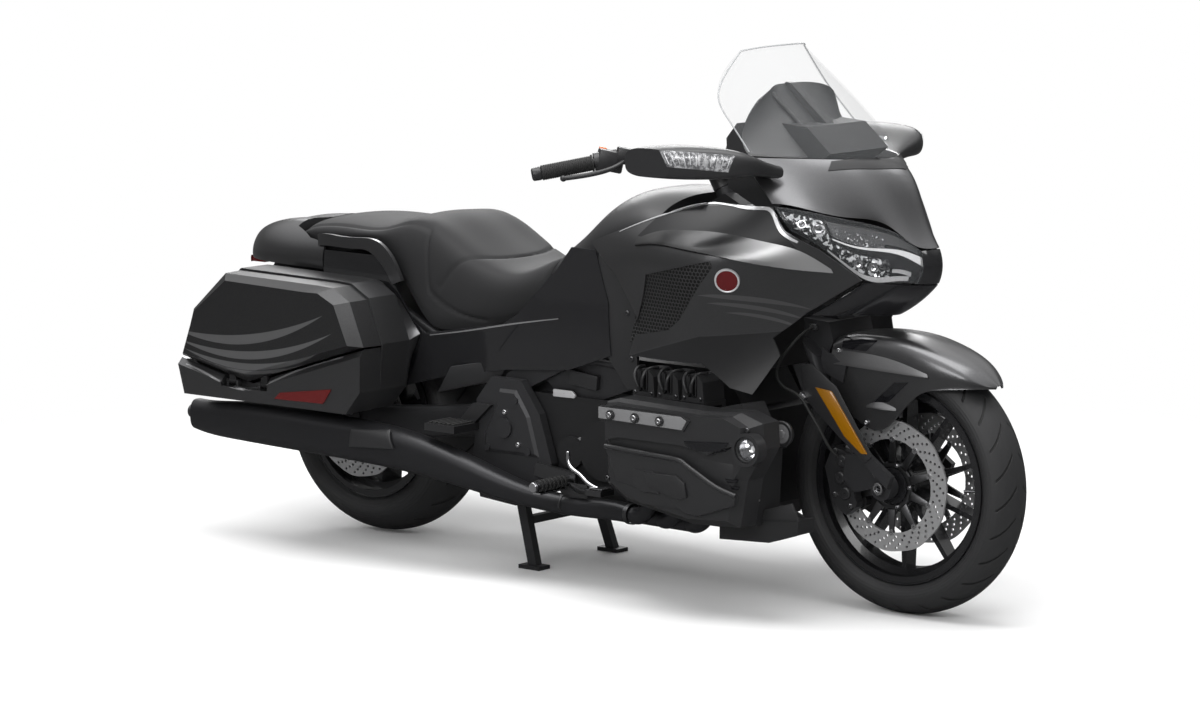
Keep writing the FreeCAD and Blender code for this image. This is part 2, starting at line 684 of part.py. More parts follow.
def seat_rail(side):
    """Seat rail from the pivot plate up and back to the tail, with the bag's and the fender's brackets."""
    points = [(-150, side * 196, 516), (-300, side * 180, 538), (-430, side * 162, 562),
              (REAR_X + 137, side * 136, 640), (REAR_X + 17, side * 130, 678), (REAR_X - 123, side * 124, 691),
              (REAR_X - 283, side * 118, TAIL_Z - SEAT_ON - 15)]
    y = sorted((side * 124, side * (BAG_IN - SEAT_ON)))
    front = box(REAR_X + 109, REAR_X + 139, y[0], y[1], 628, 652)
    rear = box(REAR_X - 123, REAR_X - 89, y[0], y[1], 664, 690)
    y = sorted((side * (FENDER_Y + FENDER_CROWN + SEAT_ON), side * 132))
    hanger = box(REAR_X - 20, REAR_X + 20, y[0], y[1], 604, 682)
    y = sorted((side * 124, side * 195.3))
    bracket = box(REAR_X + 65, REAR_X + 85, y[0], y[1], 648, 712)
    return fuse([pipe(points, 14), front, rear, hanger, bracket])


# Rear end


FENDER_Y = 112.0      # half width of the inner rear fender
FENDER_CROWN = 3.0    # its sides' crown beyond that
SWING_X = -141.0
SWING_Z = 376.0
SWING_PIN_R = 14.0


def swingarm():
    """Single-sided arm on the right with the final-drive case and stub axle."""
    def sec(x, y, z, ry, rz):
        return oval_wire(x, y, z, ry, rz, 4.0)
    arm = loft([sec(-150, -172, 378, 40, 44), (sec(-260, -172, 372, 34, 42)),
                sec((SWING_X + REAR_X) / 2, -168, 350, 26, 40), sec(REAR_X + 87, -172, REAR_Z + 7, 26, 46), sec(REAR_X + 37, -176, REAR_Z, 28, 50)])
    case = bar(V(REAR_X, -205, REAR_Z), V(REAR_X, -136, REAR_Z), 84)
    nose = bar(V(REAR_X, -136, REAR_Z), V(REAR_X, -127, REAR_Z), 50)
    stub = bar(V(REAR_X, -150, REAR_Z), V(REAR_X, 66, REAR_Z), REAR_AXLE_R - RUN)
    eye = bar(V(SWING_X, -212, SWING_Z), V(SWING_X, -128, SWING_Z), 40)
    root = bar(V(SWING_X, -212, SWING_Z), V(SWING_X, 212, SWING_Z), 30)
    out = fuse([arm, case, nose, stub, eye, root])
    out = out.cut(bar(V(SWING_X, -300, SWING_Z), V(SWING_X, 300, SWING_Z), SWING_PIN_R + SEAM))
    return fuse([out, rear_caliper()])


def rear_caliper():
    """Rear caliper over its disc, on a bracket from the arm."""
    block = prism(from_rear([(77, 72.8), (137, 80.8), (149, 150.8), (101, 172.8), (55, 132.8)]), -140, -102)
    slot = bar(V(REAR_X, REAR_DISC_Y - 7, REAR_Z), V(REAR_X, REAR_DISC_Y + 7, REAR_Z), REAR_DISC_R + 6)
    bracket = prism(from_rear([(81, 20.8), (141, 26.8), (137, 120.8), (87, 110.8)]), -160, -128)
    return fuse([block.cut(slot), bracket])


def rear_fender():
    """Inner rear fender over the tyre, from the swing pivot back to the tail."""
    rows = []
    for a, r in ((22, 338), (45, 338), (70, 342), (95, 345), (120, 346), (145, 344), (165, 340)):
        x = REAR_X + r * cos(radians(a))
        z = REAR_Z + r * sin(radians(a))
        k = (r - 45) / r
        xi, zi = REAR_X + r * k * cos(radians(a)), REAR_Z + r * k * sin(radians(a))
        rows.append([(x, 0, z), (x, -70, z - 2), (x, 8 - FENDER_Y, z - 10), (xi, -FENDER_Y, zi)])
    return panel(full_rows(rows), WALL, (REAR_X, 0, REAR_Z))


def plate_holder():
    """Number-plate bracket below the tail, plain plate with two fixing holes."""
    x = REAR_X - 429
    plate = box(x, x + 4, -95, 95, 500, 620)
    arm = prism([(x + 4, 560), (x + 4, 640), (x + 56, TAIL_Z - SEAT_ON), (x + 126, TAIL_Z - SEAT_ON), (x + 56, 600)],
                -30, 30)
    out = fuse([plate, arm])
    for y in (-60, 60):
        out = out.cut(bar(V(x - 10, y, 590), V(x + 14, y, 590), 3.25))
    return out


# Exhaust


def muffler(side):
    """Long slanted muffler with its tapering front run."""
    b = REAR_X
    stations = [(b - 369, 348, 322, 30, 40), (b - 223, 348, 318, 38, 50), (b + 77, 346, 314, 42, 54),
                (-420, 340, 300, 42, 52), (-200, 326, 262, 38, 40), (-40, 300, 222, 30, 28), (120, 272, 204, 24, 24),
                (260, 262, 202, 22, 22)]
    return loft([oval_wire(x, side * y, z, ry, rz, 2.8) for x, y, z, ry, rz in stations])


def mufflers():
    return pair(muffler(-1))


def headers(side):
    """Three header pipes from the bank down into the collector."""
    out = []
    for x in (350, 440, 530):
        out.append(pipe([(x, side * 290, 275), (x, side * 291, 240), (x - 26, side * 284, 210),
                         (x - 66, side * 272, 201)], 19))
    run = bar(V(261, side * 262, 202), V(470, side * 268, 201), 20)
    body = fuse(out + [run])
    return body.cut(box(200, 700, -400, 400, 268 - SEAT_ON, 400))


def exhaust_headers():
    return pair(headers(-1))


# Body panels


SIDE_X = (60, 240, 420, 600, 760, 860, 950)
SIDE_Z = (1012, 938, 883, 780, 660, 530)
SIDE_Y = ((205, 215, 235, 250, 250, 250), (222, 262, 292, 300, 295, 290), (240, 312, 350, 345, 332, 322),
          (250, 318, 350, 338, 300, 305), (238, 262, 262, 206, 192, 250), (178, 196, 178, 146, 146, 200),
          (100, 120, 100, 84, 96, 150))


def side_rows():
    return [[(x, -y, z) for y, z in zip(ys, SIDE_Z)] for x, ys in zip(SIDE_X, SIDE_Y)]


SIDE_OUTLINE = [(136, 867), (236, 902), (380, 952), (521, 992), (640, 990), (698, 991), (742, 938),
                (808, 894), (874, 818), (752, 736), (686, 674), (702, 632), (657, 540),
                (600, 552), (529, 606), (300, 606), (322, 655), (330, 700), (250, 800)]
MESH_OPENING = [(316, 656), (441, 682), (478, 710), (592, 846), (586, 862), (376, 812)]


def side_cowl():
    """Right side cowl: curved panel cut to its outline, open behind the mesh."""
    skin = panel(side_rows(), WALL, (500, 0, 750))
    skin = skin.common(prism(SIDE_OUTLINE, -420, -120))
    return skin.cut(prism(MESH_OPENING, -420, -120))


def side_cowls():
    return pair(side_cowl())


def side_meshes():
    """Mesh panels just behind the side cowl's openings."""
    rows = [[(x, y + WALL + SEAM, z) for x, y, z in row] for row in side_rows()]
    skin = panel(rows, 2.0, (500, 0, 750))
    grown = [(300, 636), (446, 670), (490, 702), (608, 846), (596, 878), (362, 830)]
    return pair(skin.common(prism(grown, -420, -120)))


def cover_rows(depth=0.0):
    """Grid of the long side panel, moved inwards by depth."""
    widths = ((REAR_X - 223, 176), (REAR_X - 23, 192), (REAR_X + 177, 200), (-450, 208), (-300, 228), (-120, 248),
              (60, 254), (230, 264), (350, 272))
    return [[(x, -w + 14 + depth, 880), (x, -w + depth, 760), (x, -w - 6 + depth, 640), (x, -w + depth, 520),
             (x, -w + 2 + depth, 410)] for x, w in widths]


def side_pillar():
    """Black pillar behind the side panel's front edge, up to the side cowl."""
    outline = [(180, 600), (252, 512), (290, 512), (290, 604), (318, 656), (322, 704), (244, 800), (150, 835),
               (150, 700)]
    return panel(cover_rows(WALL + SEAM), 9.0, (0, 0, 700)).common(prism(outline, -420, -120))


def side_cover():
    """Long dark panel from the tail, under the seat, to the shelter and the pivot plate."""
    outline = aft([(-53, 700), (-53, 768), (157, 768), (207, 700)])
    outline += [(-495, 606), (-452, 584), (-160, 636), (-110, 664), (20, 790), (60, 846), (140, 846), (195, 720),
                (205, 590), (60, 540), (-150, 520), (-385, 478)]
    outline += aft([(220, 432), (190, 470), (166, 600), (142, 690)])
    return panel(cover_rows(), WALL, (0, 0, 700)).common(prism(outline, -420, -120))


def side_covers():
    return pair(side_cover())


def side_pillars():
    return pair(side_pillar())


def cowl_rows():
    return full_rows([
        [(850, 0, 1098), (841, -40, 1098), (815, -85, 1098), (752, -144, 1099), (672, -197, 1100), (590, -237, 1100)],
        [(908, 0, 1062), (880, -42, 1061), (848, -84, 1060), (788, -144, 1064), (705, -202, 1068), (625, -250, 1068)],
        [(950, 0, 975), (921, -40, 976), (890, -80, 986), (820, -147, 1008), (738, -214, 1024), (664, -260, 1034)],
        [(992, 0, 892), (966, -36, 894), (918, -74, 936), (838, -148, 966), (764, -222, 988), (698, -264, 999)]])


def front_cowl_sheet():
    return panel(cowl_rows(), WALL, (600, 0, 900))


def front_cowl():
    """Upper nose: one pointed sheet from the screen's base down to the lamps."""
    sheet = clear_of(front_cowl_sheet(), mirror_pod(-1))
    return clear_of(sheet, mirror_pod(1))


def lamp_rows():
    return [
        [(970, -32, 884), (922, -70, 928), (842, -146, 960), (768, -220, 982), (702, -262, 993)],
        [(976, -34, 846), (934, -78, 872), (866, -146, 892), (796, -218, 938), (724, -262, 966)],
        [(964, -36, 806), (930, -78, 811), (872, -130, 818), (806, -207, 893), (741, -250, 937)]]


def headlamps():
    """Clear lamp bodies between the upper nose and the side cowls, with the round lower lamps."""
    main = panel(lamp_rows(), 26.0, (600, 0, 800))
    main = clear_of(main, nose_strip())
    main = main.cut(box(800, 1100, -34 - SEAM, 34, 700, 1000))
    main = clear_of(main, prism(SIDE_OUTLINE, -420, -100))
    main = clear_of(main, front_cowl_sheet())
    return Part.makeCompound([main, mirrored(main), aux_lamp(), mirrored(aux_lamp())])


def nose_rows():
    return full_rows([
        [(994, 0, 889), (967, -31, 885)], [(1003, 0, 848), (972, -33, 846)], [(992, 0, 806), (962, -35, 806)]])


def nose_strip():
    """Pointed strip between the two lamps."""
    return panel(nose_rows(), 6.0, (700, 0, 850))


def chin_rows():
    return full_rows([
        [(990, 0, 801.8), (960, -38, 801.8), (926, -80, 805.8), (866, -122, 808.8)],
        [(945, 0, 762), (915, -50, 765), (880, -95, 768), (808, -142, 768)],
        [(880, 0, 722), (850, -60, 724), (815, -110, 726), (746, -168, 726)]])


def lower_nose():
    """Dark lower nose under the lamps, and the strip between them."""
    lamp = panel(lamp_rows(), 26.0, (600, 0, 800))
    chin = clear_of(clear_of(panel(chin_rows(), WALL, (800, 0, 900)), lamp), mirrored(lamp))
    strip = nose_strip().cut(chin).cut(front_cowl_sheet())
    return Part.makeCompound([chin, max(strip.Solids, key=lambda solid: solid.Volume)])


def screen_rows():
    return full_rows([
        [(852, 0, 1101.4), (830, -70, 1101), (745, -150, 1102), (610, -242, 1114)],
        [(760, 0, 1188), (738, -72, 1190), (655, -150, 1196), (545, -236, 1184)],
        [(655, 0, 1272), (640, -70, 1270), (580, -142, 1264), (498, -220, 1246)],
        [(545, 0, 1357), (538, -50, 1356), (520, -95, 1352), (495, -128, 1345)]])


def windscreen():
    return panel(screen_rows(), 4.0, (300, 0, 1100))


def garnish_rows():
    return full_rows([
        [(735, 0, 1096), (722, -70, 1096), (675, -145, 1098), (598, -222, 1104)],
        [(665, 0, 1155), (655, -68, 1157), (620, -135, 1158), (562, -205, 1150)],
        [(600, 0, 1212), (598, -62, 1212), (588, -118, 1210), (562, -180, 1196)],
        [(545, 0, 1262), (550, -52, 1262), (568, -100, 1256), (572, -150, 1232)]])


def screen_garnish():
    """Grey inner panel behind the lower half of the screen, with its tapered rib."""
    return fuse([panel(garnish_rows(), WALL, (400, 0, 1000)), screen_rib()])


def screen_rib():
    """Tapered central rib which carries the screen on its slide."""
    return prism([(538, 1256), (548, 1266), (562, 1264), (676, 1168), (672, 1152), (600, 1205)], -15, 15)


def dash():
    """Instrument binnacle on the front stay, facing the rider under the garnish."""
    low = STAY_TOP[0][1] + SEAT_ON + 0.1
    high = STAY_TOP[1][1] + SEAT_ON + 0.1
    body = prism([(452, 1010), (446, 1130), (478, 1168), (560, 1180), (690, 1170), (760, 1110), (690, 1060),
                  (STAY_TOP[1][0], high), (STAY_TOP[0][0], low)], -118, 118)
    return clear_of(clear_of(body, panel(garnish_rows(), WALL, (400, 0, 1000))), screen_rib())


STAY_TOP = ((560, 958), (700, 1008))


def cowl_stay():
    """Front stay from the head block to the nose, dash and lamps."""
    body = prism([(HEAD_X0, 900), (HEAD_X0, 958), STAY_TOP[0], STAY_TOP[1], (860, 1000), (862, 956), (700, 962),
                  (560, 926), (HEAD_SLOPE_X - 44, 912)], -60, 60)
    tongue = box(800, 1000, -24, 24, 966, 992)
    return fuse([body, clear_of(tongue, front_cowl_sheet())])


def tank_shelter():
    """Top shelter between the seat and the instruments."""
    def sec(x, top, w, low):
        mid = low + 0.55 * (top - low)
        points = [V(x, -w, low), V(x, -w, mid), V(x, -0.62 * w, top - 14), V(x, 0, top),
                  V(x, 0.62 * w, top - 14), V(x, w, mid), V(x, w, low)]
        curve = Part.BSplineCurve()
        curve.interpolate(points)
        return Part.Wire([curve.toShape(), Part.makeLine(points[-1], points[0])])
    return loft([sec(SEAT_FRONT + SEAM, 800, 104, 700), sec(-60, 842, 130, 712), sec(0, 880, 156, 740),
                 sec(90, 944, 190, 780), sec(176, 984, 202, 820), sec(250, 990, 205, 840), sec(SHELTER_FRONT, 978, 205, SHELTER_LOW)])


def mirror_pod(side):
    """Mirror with the clear signal lens set in its front."""
    wires = []
    for y, x, z, rx, rz in ((236, 672, 1072, 38, 16), (296, 655, 1086, 46, 22), (350, 610, 1096, 86, 34), (410, 530, 1098, 104, 40),
                            (452, 470, 1096, 70, 34)):
        w = oval_wire(0, 0, 0, rx, rz, 3.0)
        w.rotate(V(0, 0, 0), V(0, 0, 1), 90)
        w.translate(V(x, side * y, z))
        wires.append(w)
    return loft(wires)


def mirrors():
    return pair(mirror_pod(-1))


# Handlebar


def handlebar():
    """Bars with grips and switch boxes, on their own pivot beside the steering axis."""
    points = [(344, -60, 1046), (338, -150, 1068), (316, -240, 1088), (270, -320, 1084), (142, -444, 1052)]
    one = pipe(points, 11)
    grip = bar(V(228, -362, 1074), V(140, -450, 1051), 17)
    switch = bar(V(270, -320, 1084), V(230, -360, 1074.5), 24)
    clamp = box(318, 372, -84, 84, 1030, 1062)
    up = AXIS
    post = bar(BAR_PIVOT.add(V(up).multiply(8)), BAR_PIVOT.add(V(up).multiply(66)), 26)
    lever = brake_lever()
    out = fuse([one, grip, switch, lever, mirrored(one), mirrored(grip), mirrored(switch), mirrored(lever), clamp, post])
    return out.cut(bar(BAR_PIVOT.add(V(up).multiply(-40)), BAR_PIVOT.add(V(up).multiply(40)), BAR_PIN_R))


def brake_lever():
    """Lever ahead of the grip, from its perch beside the switch box."""
    lever = pipe([(292, -320, 1082), (290, -360, 1066), (250, -405, 1050), (196, -436, 1040)], 6)
    perch = bar(V(262, -318, 1084), V(296, -322, 1082), 11)
    return fuse([lever, perch])


def bar_pivot():
    """Fixed pin and foot on the frame head that carries the handlebar."""
    up = AXIS
    pin = bar(BAR_PIVOT.add(V(up).multiply(-20)), BAR_PIVOT.add(V(up).multiply(39)), BAR_PIN_R - RUN)
    flange = bar(BAR_PIVOT.add(V(up).multiply(-20)), BAR_PIVOT.add(V(up).multiply(7)), 24)
    foot = prism([(338, 962), (380, 984), (440, 956), (440, 910), (HEAD_X0, 900)], -40, 40)
    return fuse([pin, flange, foot])


# Seat, tail and bags


def seat():
    """One-piece seat: rider's bucket, hump and passenger pad."""
    def sec(x, top, w, low):
        points = [V(x, -w + 12, low), V(x, -w, low + 0.4 * (top - low)), V(x, -w + 18, top - 22), V(x, -0.5 * w, top - 4),
                  V(x, 0, top), V(x, 0.5 * w, top - 4), V(x, w - 18, top - 22), V(x, w, low + 0.4 * (top - low)),
                  V(x, w - 12, low)]
        curve = Part.BSplineCurve()
        curve.interpolate(points)
        return Part.Wire([curve.toShape(), Part.makeLine(points[-1], points[0])])
    b = REAR_X
    stations = [(b - 198, 820, 120, SEAT_REAR_Z), (b - 123, 840, 158, SEAT_REAR_Z), (b + 17, 851, 178, SEAT_REAR_Z),
                (b + 157, 857, 184, 764),
                (-560, 872, 182, 700), (-490, 868, 180, 610), (-405, 828, 182, 592), (-310, 780, 178, 606),
                (-200, 762, 150, 634), (SEAT_FRONT, 796, 108, 662)]
    return loft([sec(*s) for s in stations])


def tail_form(grow=0.0):
    """Closed form of the tail, grown on its sides and top."""
    def sec(dx, top, w, low=706):
        x, top, w = REAR_X + dx, top + grow, w + grow
        points = [V(x, -w, low), V(x, -w, low + 0.5 * (top - low)), V(x, -0.72 * w, top - 8), V(x, 0, top),
                  V(x, 0.72 * w, top - 8), V(x, w, low + 0.5 * (top - low)), V(x, w, low)]
        curve = Part.BSplineCurve()
        curve.interpolate(points)
        return Part.Wire([curve.toShape(), Part.makeLine(points[-1], points[0])])
    return loft([sec(-459, 746, 26), sec(-430, 774, 66), sec(-371, 802, 122), sec(-283, 822, 158),
                 sec(-200, 828, 174), sec(-120, 834, 182), sec(-58, 838, 186)])


def tail_cowl():
    """Rear cowl between the bags, wrapped round the seat's rear end."""
    b = REAR_X
    body = tail_form().cut(box(b - 523, b, -300, 300, 600, TAIL_Z))
    half = [(b - 198 - 3 * SEAM, 134), (b - 123, 169), (b - 50, 182)]
    pocket = plan_prism(half + [(x, -y) for x, y in reversed(half)], SEAT_REAR_Z - SEAT_SAG - SEAT_ON, 900)
    return body.cut(pocket)


def rear_lamps():
    """Tail lamps under the cowl's corners and the wedge reflectors on the bags' sills."""
    lamp = box(REAR_X - 419, REAR_X - 373, -84, -34, 700, TAIL_Z - SEAT_ON)
    y = BAG_OUT - SILL_IN + SEAT_ON
    wedge = prism(aft([(-14, 404), (6, 422), (188, 448), (158, 408)]), -y - 3, -y)
    return Part.makeCompound([lamp, mirrored(lamp), wedge, mirrored(wedge)])


def grab_rails():
    """Broad flat passenger grab rails from the tail along both sides of the seat."""
    b = REAR_X
    top = [(b - 83, -184, 806), (b - 13, -208, 812), (b + 77, -222, 812), (b + 177, -228, 806), (b + 221, -228, 768),
           (b + 247, -222, 712)]
    low = [(b - 79, -186, 776), (b - 3, -210, 782), (b + 77, -222, 783), (b + 149, -227, 776), (b + 187, -226, 744),
           (b + 213, -220, 700)]
    rail = panel([top, low], 11.0, (b, 0, 700)).cut(tail_form(SEAM))
    return pair(max(rail.Solids, key=lambda solid: solid.Volume))


BAG_OUTLINE = aft([(-351, 400), (-373, 470), (-329, 614), (-207, 722), (137, 716), (187, 713), (247, 680),
                   (295, 566), (284, 447), (234, 390)])
BAG_INNER = aft([(-351, 412), (-369, 470), (-327, 612), (-207, 716), (137, 710), (181, 706), (241, 664),
                 (311, 580), (277, 510), (200, 404)])
LID_OUTLINE = aft([(-126, 434), (-365, 484), (-323, 612), (-204, 717), (136, 711), (185, 708), (243, 676), (290, 562)])
SILL_IN = 16.0        # the sill's face inside the lid's outer face


def bag_wires(outline, ys):
    out = []
    cx = sum(p[0] for p in outline) / len(outline)
    cz = sum(p[1] for p in outline) / len(outline)
    for y, inset in ys:
        pts = []
        for x, z in outline:
            d = hypot(x - cx, z - cz)
            k = (d - inset) / d
            pts.append((cx + (x - cx) * k, -y, cz + (z - cz) * k))
        out.append(polygon(pts))
    return out


def bag_sill():
    """Sill below the lid, its outer top edge bevelled."""
    y = (-BAG_SPLIT + 20, -BAG_OUT + SILL_IN + SILL_BEVEL, -BAG_OUT + SILL_IN)
    wires = []
    for y, low in zip(y, (LID_GAP, LID_GAP, LID_GAP + SILL_BEVEL)):
        outline = aft([(-345, 386), (-367, 484 - low), (-126, 434 - low), (286, 562 - low), (284, 447), (234, 388)])
        wires.append(polygon([(x, y, z) for x, z in outline]))
    return loft(wires, True)


def bag_body():
    """Right bag body: open-sided shell with a sill below the lid."""
    t = BAG_WALL + 2
    def wires(inset, y_in, y_out):
        return bag_wires(BAG_INNER, [(y_in, inset + 6)]) + bag_wires(BAG_OUTLINE, [(y_in + 30, inset), (y_out, inset)])
    outer = loft(wires(0, BAG_IN, BAG_SPLIT), True)
    room = loft(wires(t, BAG_IN + BAG_WALL, BAG_SPLIT + 1), True)
    sill = bag_sill()
    recess = box(HINGE_X[0] - 26, HINGE_X[1] + 26, -BAG_OUT - 1, -BAG_HINGE_Y + 14, 420, 480)
    lugs = []
    for x in HINGE_X:
        for d in (-21, 13):
            lugs.append(box(x + d, x + d + 8, -BAG_HINGE_Y - 6, -BAG_HINGE_Y + 6, 414, BAG_HINGE_Z + 5))
        lugs.append(bar(V(x - 20, -BAG_HINGE_Y, BAG_HINGE_Z), V(x + 20, -BAG_HINGE_Y, BAG_HINGE_Z), BAG_PIN_R))
    return fuse([outer.cut(room), sill.cut(recess)] + lugs)


def bag_lid():
    """Right bag lid: hollow outer shell hinged along its lower edge."""
    ys = [(BAG_SPLIT + SEAM, 0), (BAG_OUT - 30, 4), (BAG_OUT, 34)]
    outer = loft(bag_wires(LID_OUTLINE, ys), True)
    room = loft(bag_wires(LID_OUTLINE, [(BAG_SPLIT, BAG_WALL + 1), (BAG_OUT - 31, BAG_WALL + 5),
                                        (BAG_OUT - BAG_WALL, 38)]), True)
    knuckles = []
    for x in HINGE_X:
        knuckles.append(bar(V(x - 12, -BAG_HINGE_Y, BAG_HINGE_Z), V(x + 12, -BAG_HINGE_Y, BAG_HINGE_Z), 7))
        knuckles.append(box(x - 12, x + 12, -BAG_HINGE_Y - 5, -BAG_HINGE_Y + 5, BAG_HINGE_Z, BAG_HINGE_Z + 26))
    out = fuse([outer.cut(room)] + knuckles)
    for x in HINGE_X:
        p = V(x, -BAG_HINGE_Y, BAG_HINGE_Z)
        out = out.cut(bar(p.add(V(-30, 0, 0)), p.add(V(30, 0, 0)), BAG_PIN_R + RUN))
    return out


def saddlebag_body_right():
    return bag_body()


def saddlebag_body_left():
    return mirrored(bag_body())


def saddlebag_lid_right():
    return bag_lid()


def saddlebag_lid_left():
    return mirrored(bag_lid())


# Foot controls and stands


def rider_peg():
    """Rider's foot peg on its bracket."""
    y = PIVOT_Y[1] + SEAT_ON
    peg = bar(V(80, -y - 2, 268), V(80, -412, 268), 13)
    arm = prism([(-36, 268), (-30, 300), (98, 286), (98, 250), (60, 250)], -y - 14, -y)
    return fuse([peg, arm])


def foot_controls():
    """Rider's and passenger's pegs on both sides, and the rear brake pedal on the right."""
    both = [rider_peg(), passenger_peg()]
    right = fuse([both[0], brake_pedal()])
    return Part.makeCompound([right, mirrored(both[0]), both[1], mirrored(both[1])])


def brake_pedal():
    lever = pipe([(64, -270, 264), (116, -300, 256), (180, -336, 258), (250, -362, 268)], 7)
    pad = box(228, 276, -392, -340, 262, 276)
    return fuse([lever, pad])


def passenger_peg():
    """Passenger foot plate behind the pivot plate."""
    y = PIVOT_Y[1] + SEAT_ON
    hanger = prism([(-240, 430), (-180, 430), (-250, 366), (-300, 366)], -y - 14, -y)
    plate = prism([(-330, 362), (-330, 380), (-230, 380), (-230, 362)], -y - 96, -y)
    return fuse([hanger, plate])


def centre_stand():
    """Two-legged stand with wide feet, its feet ahead of the pivot when down."""
    c = CENTRE_PIVOT
    tube = bar(V(c.x, -150, c.z), V(c.x, 150, c.z), 16)
    parts = [tube]
    for s in (-1, 1):
        leg = loft([polygon([(c.x - 14, s * 150, c.z - 8), (c.x + 14, s * 150, c.z - 8),
                             (c.x + 14, s * 128, c.z - 8), (c.x - 14, s * 128, c.z - 8)]),
                    polygon([(c.x + 50, s * 166, 6), (c.x + 78, s * 166, 6),
                             (c.x + 78, s * 144, 6), (c.x + 50, s * 144, 6)])], True)
        foot = box(c.x + 28, c.x + 96, s * 157 - 22, s * 157 + 22, 0, 10)
        parts += [leg, foot]
    brace = box(c.x + 14, c.x + 34, -140, 140, 108, 128)
    out = fuse(parts + [brace])
    return out.cut(bar(V(c.x, -200, c.z), V(c.x, 200, c.z), CENTRE_PIN_R))


def side_stand():
    """Folded side stand: leg along the frame with its foot plate."""
    p = SIDE_PIVOT
    leg = prism([(p.x - 6, p.z + 16), (p.x + 16, p.z), (p.x, p.z - 16), (p.x - 200, p.z - 12), (p.x - 200, p.z + 4)],
                p.y, p.y + 14)
    foot = prism([(p.x - 180, p.z - 22), (p.x - 210, p.z - 30), (p.x - 222, p.z + 22), (p.x - 196, p.z + 22)],
                 p.y - 4, p.y + 22)
    out = fuse([leg, foot])
    a = V(SIDE_AXIS).normalize()
    mid = V(p.x, p.y + 7, p.z)
    return out.cut(bar(mid.sub(V(a).multiply(40)), mid.add(V(a).multiply(40)), SIDE_PIN_R))


def side_pin():
    """Pivot bolt of the side stand with its lug."""
    p = SIDE_PIVOT
    a = V(SIDE_AXIS).normalize()
    mid = V(p.x, p.y + 7, p.z)
    return bar(mid.sub(V(a).multiply(42)), mid.add(V(a).multiply(14)), SIDE_PIN_R - RUN)


NODES = [front_tyre, front_rim, front_discs, rear_tyre, rear_rim, rear_disc,
         fork, front_axle, fork_reflectors, front_calipers, front_fender, wishbones,
         engine_block, head_covers, intake_covers, radiators, mufflers, exhaust_headers,
         head_block, frame_rails, pivot_plates, swingarm, rear_fender, plate_holder,
         side_cowls, side_meshes, side_pillars, side_covers, front_cowl, lower_nose, headlamps,
         windscreen, screen_garnish, dash, tank_shelter, mirrors, handlebar,
         seat, tail_cowl, rear_lamps, grab_rails,
         saddlebag_body_right, saddlebag_body_left, saddlebag_lid_right, saddlebag_lid_left,
         foot_controls, centre_stand, side_stand]


def main():
    os.makedirs("parts", exist_ok=True)
    for make in NODES:
        make().exportStep("parts/%s.step" % make.__name__)


main()
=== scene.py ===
from math import cos, pi, radians, sin, sqrt

import bmesh
import bpy
import numpy as np
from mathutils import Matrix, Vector, geometry
from mathutils.bvhtree import BVHTree


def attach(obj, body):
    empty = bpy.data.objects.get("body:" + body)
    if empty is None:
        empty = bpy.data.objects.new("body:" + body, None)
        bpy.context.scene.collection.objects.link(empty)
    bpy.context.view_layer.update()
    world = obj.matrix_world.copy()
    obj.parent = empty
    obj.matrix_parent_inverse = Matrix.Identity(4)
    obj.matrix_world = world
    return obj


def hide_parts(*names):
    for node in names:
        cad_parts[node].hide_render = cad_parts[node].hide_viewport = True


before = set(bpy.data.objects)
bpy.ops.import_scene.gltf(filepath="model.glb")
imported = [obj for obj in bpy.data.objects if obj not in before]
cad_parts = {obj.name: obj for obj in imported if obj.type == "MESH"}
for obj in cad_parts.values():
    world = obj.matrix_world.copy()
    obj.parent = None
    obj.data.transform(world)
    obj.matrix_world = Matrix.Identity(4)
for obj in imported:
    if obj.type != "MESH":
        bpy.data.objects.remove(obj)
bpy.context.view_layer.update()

# Touring cruiser motorcycle: looks and small pieces over the CAD solids.
# Shapes are in mm and materials in metres: +X forward, +Y to the rider's left, +Z up.
# Pieces that come in pairs are drawn on the right and mirrored by both().

MM = 0.001

# Axles of the wheels, as in the part's source.
WHEELBASE = 1695.0
FRONT_X, FRONT_Z = 918.0, 319.6
REAR_X, REAR_Z = FRONT_X - WHEELBASE, 319.2
# Radii of the tyres in metres.
FRONT_R, REAR_R = 0.3196, 0.3132


# Shader maths


def add_node(tree, kind, inputs=None, **settings):
    """A node of that kind: its settings are set first, then the value or link of each socket given."""
    node = tree.nodes.new(kind)
    for key, value in settings.items():
        setattr(node, key, value)
    for key, value in (inputs or {}).items():
        if isinstance(value, Val):
            tree.links.new(value.socket, node.inputs[key])
        else:
            node.inputs[key].default_value = value
    return node


class Val:
    """A node's output that takes part in arithmetic; each operation adds its Math node."""

    def __init__(self, tree, socket):
        self.tree, self.socket = tree, socket

    def math(self, op, *others):
        inputs = dict(enumerate((self,) + others))
        return Val(self.tree, add_node(self.tree, "ShaderNodeMath", inputs, operation=op).outputs[0])

    def __add__(self, other):
        return self.math("ADD", other)

    def __sub__(self, other):
        return self.math("SUBTRACT", other)

    def __rsub__(self, other):
        return self * -1.0 + other

    def __mul__(self, other):
        return self.math("MULTIPLY", other)

    def __truediv__(self, other):
        return self.math("DIVIDE", other)

    def __gt__(self, other):
        return self.math("GREATER_THAN", other)

    __radd__, __rmul__ = __add__, __mul__

    def abs(self):
        return self.math("ABSOLUTE")

    def sqrt(self):
        return self.math("SQRT")

    def fract(self):
        return self.math("FRACT")

    def wave(self):
        return self.math("SINE")

    def least(self, other):
        return self.math("MINIMUM", other)

    def most(self, other):
        return self.math("MAXIMUM", other)

    def angle(self, other):
        return self.math("ARCTAN2", other)

    def smooth(self, low, high):
        """0 below low, 1 above high, smooth between."""
        inputs = {0: self, 1: low, 2: high}
        ramp = add_node(self.tree, "ShaderNodeMapRange", inputs, interpolation_type="SMOOTHSTEP")
        return Val(self.tree, ramp.outputs[0])


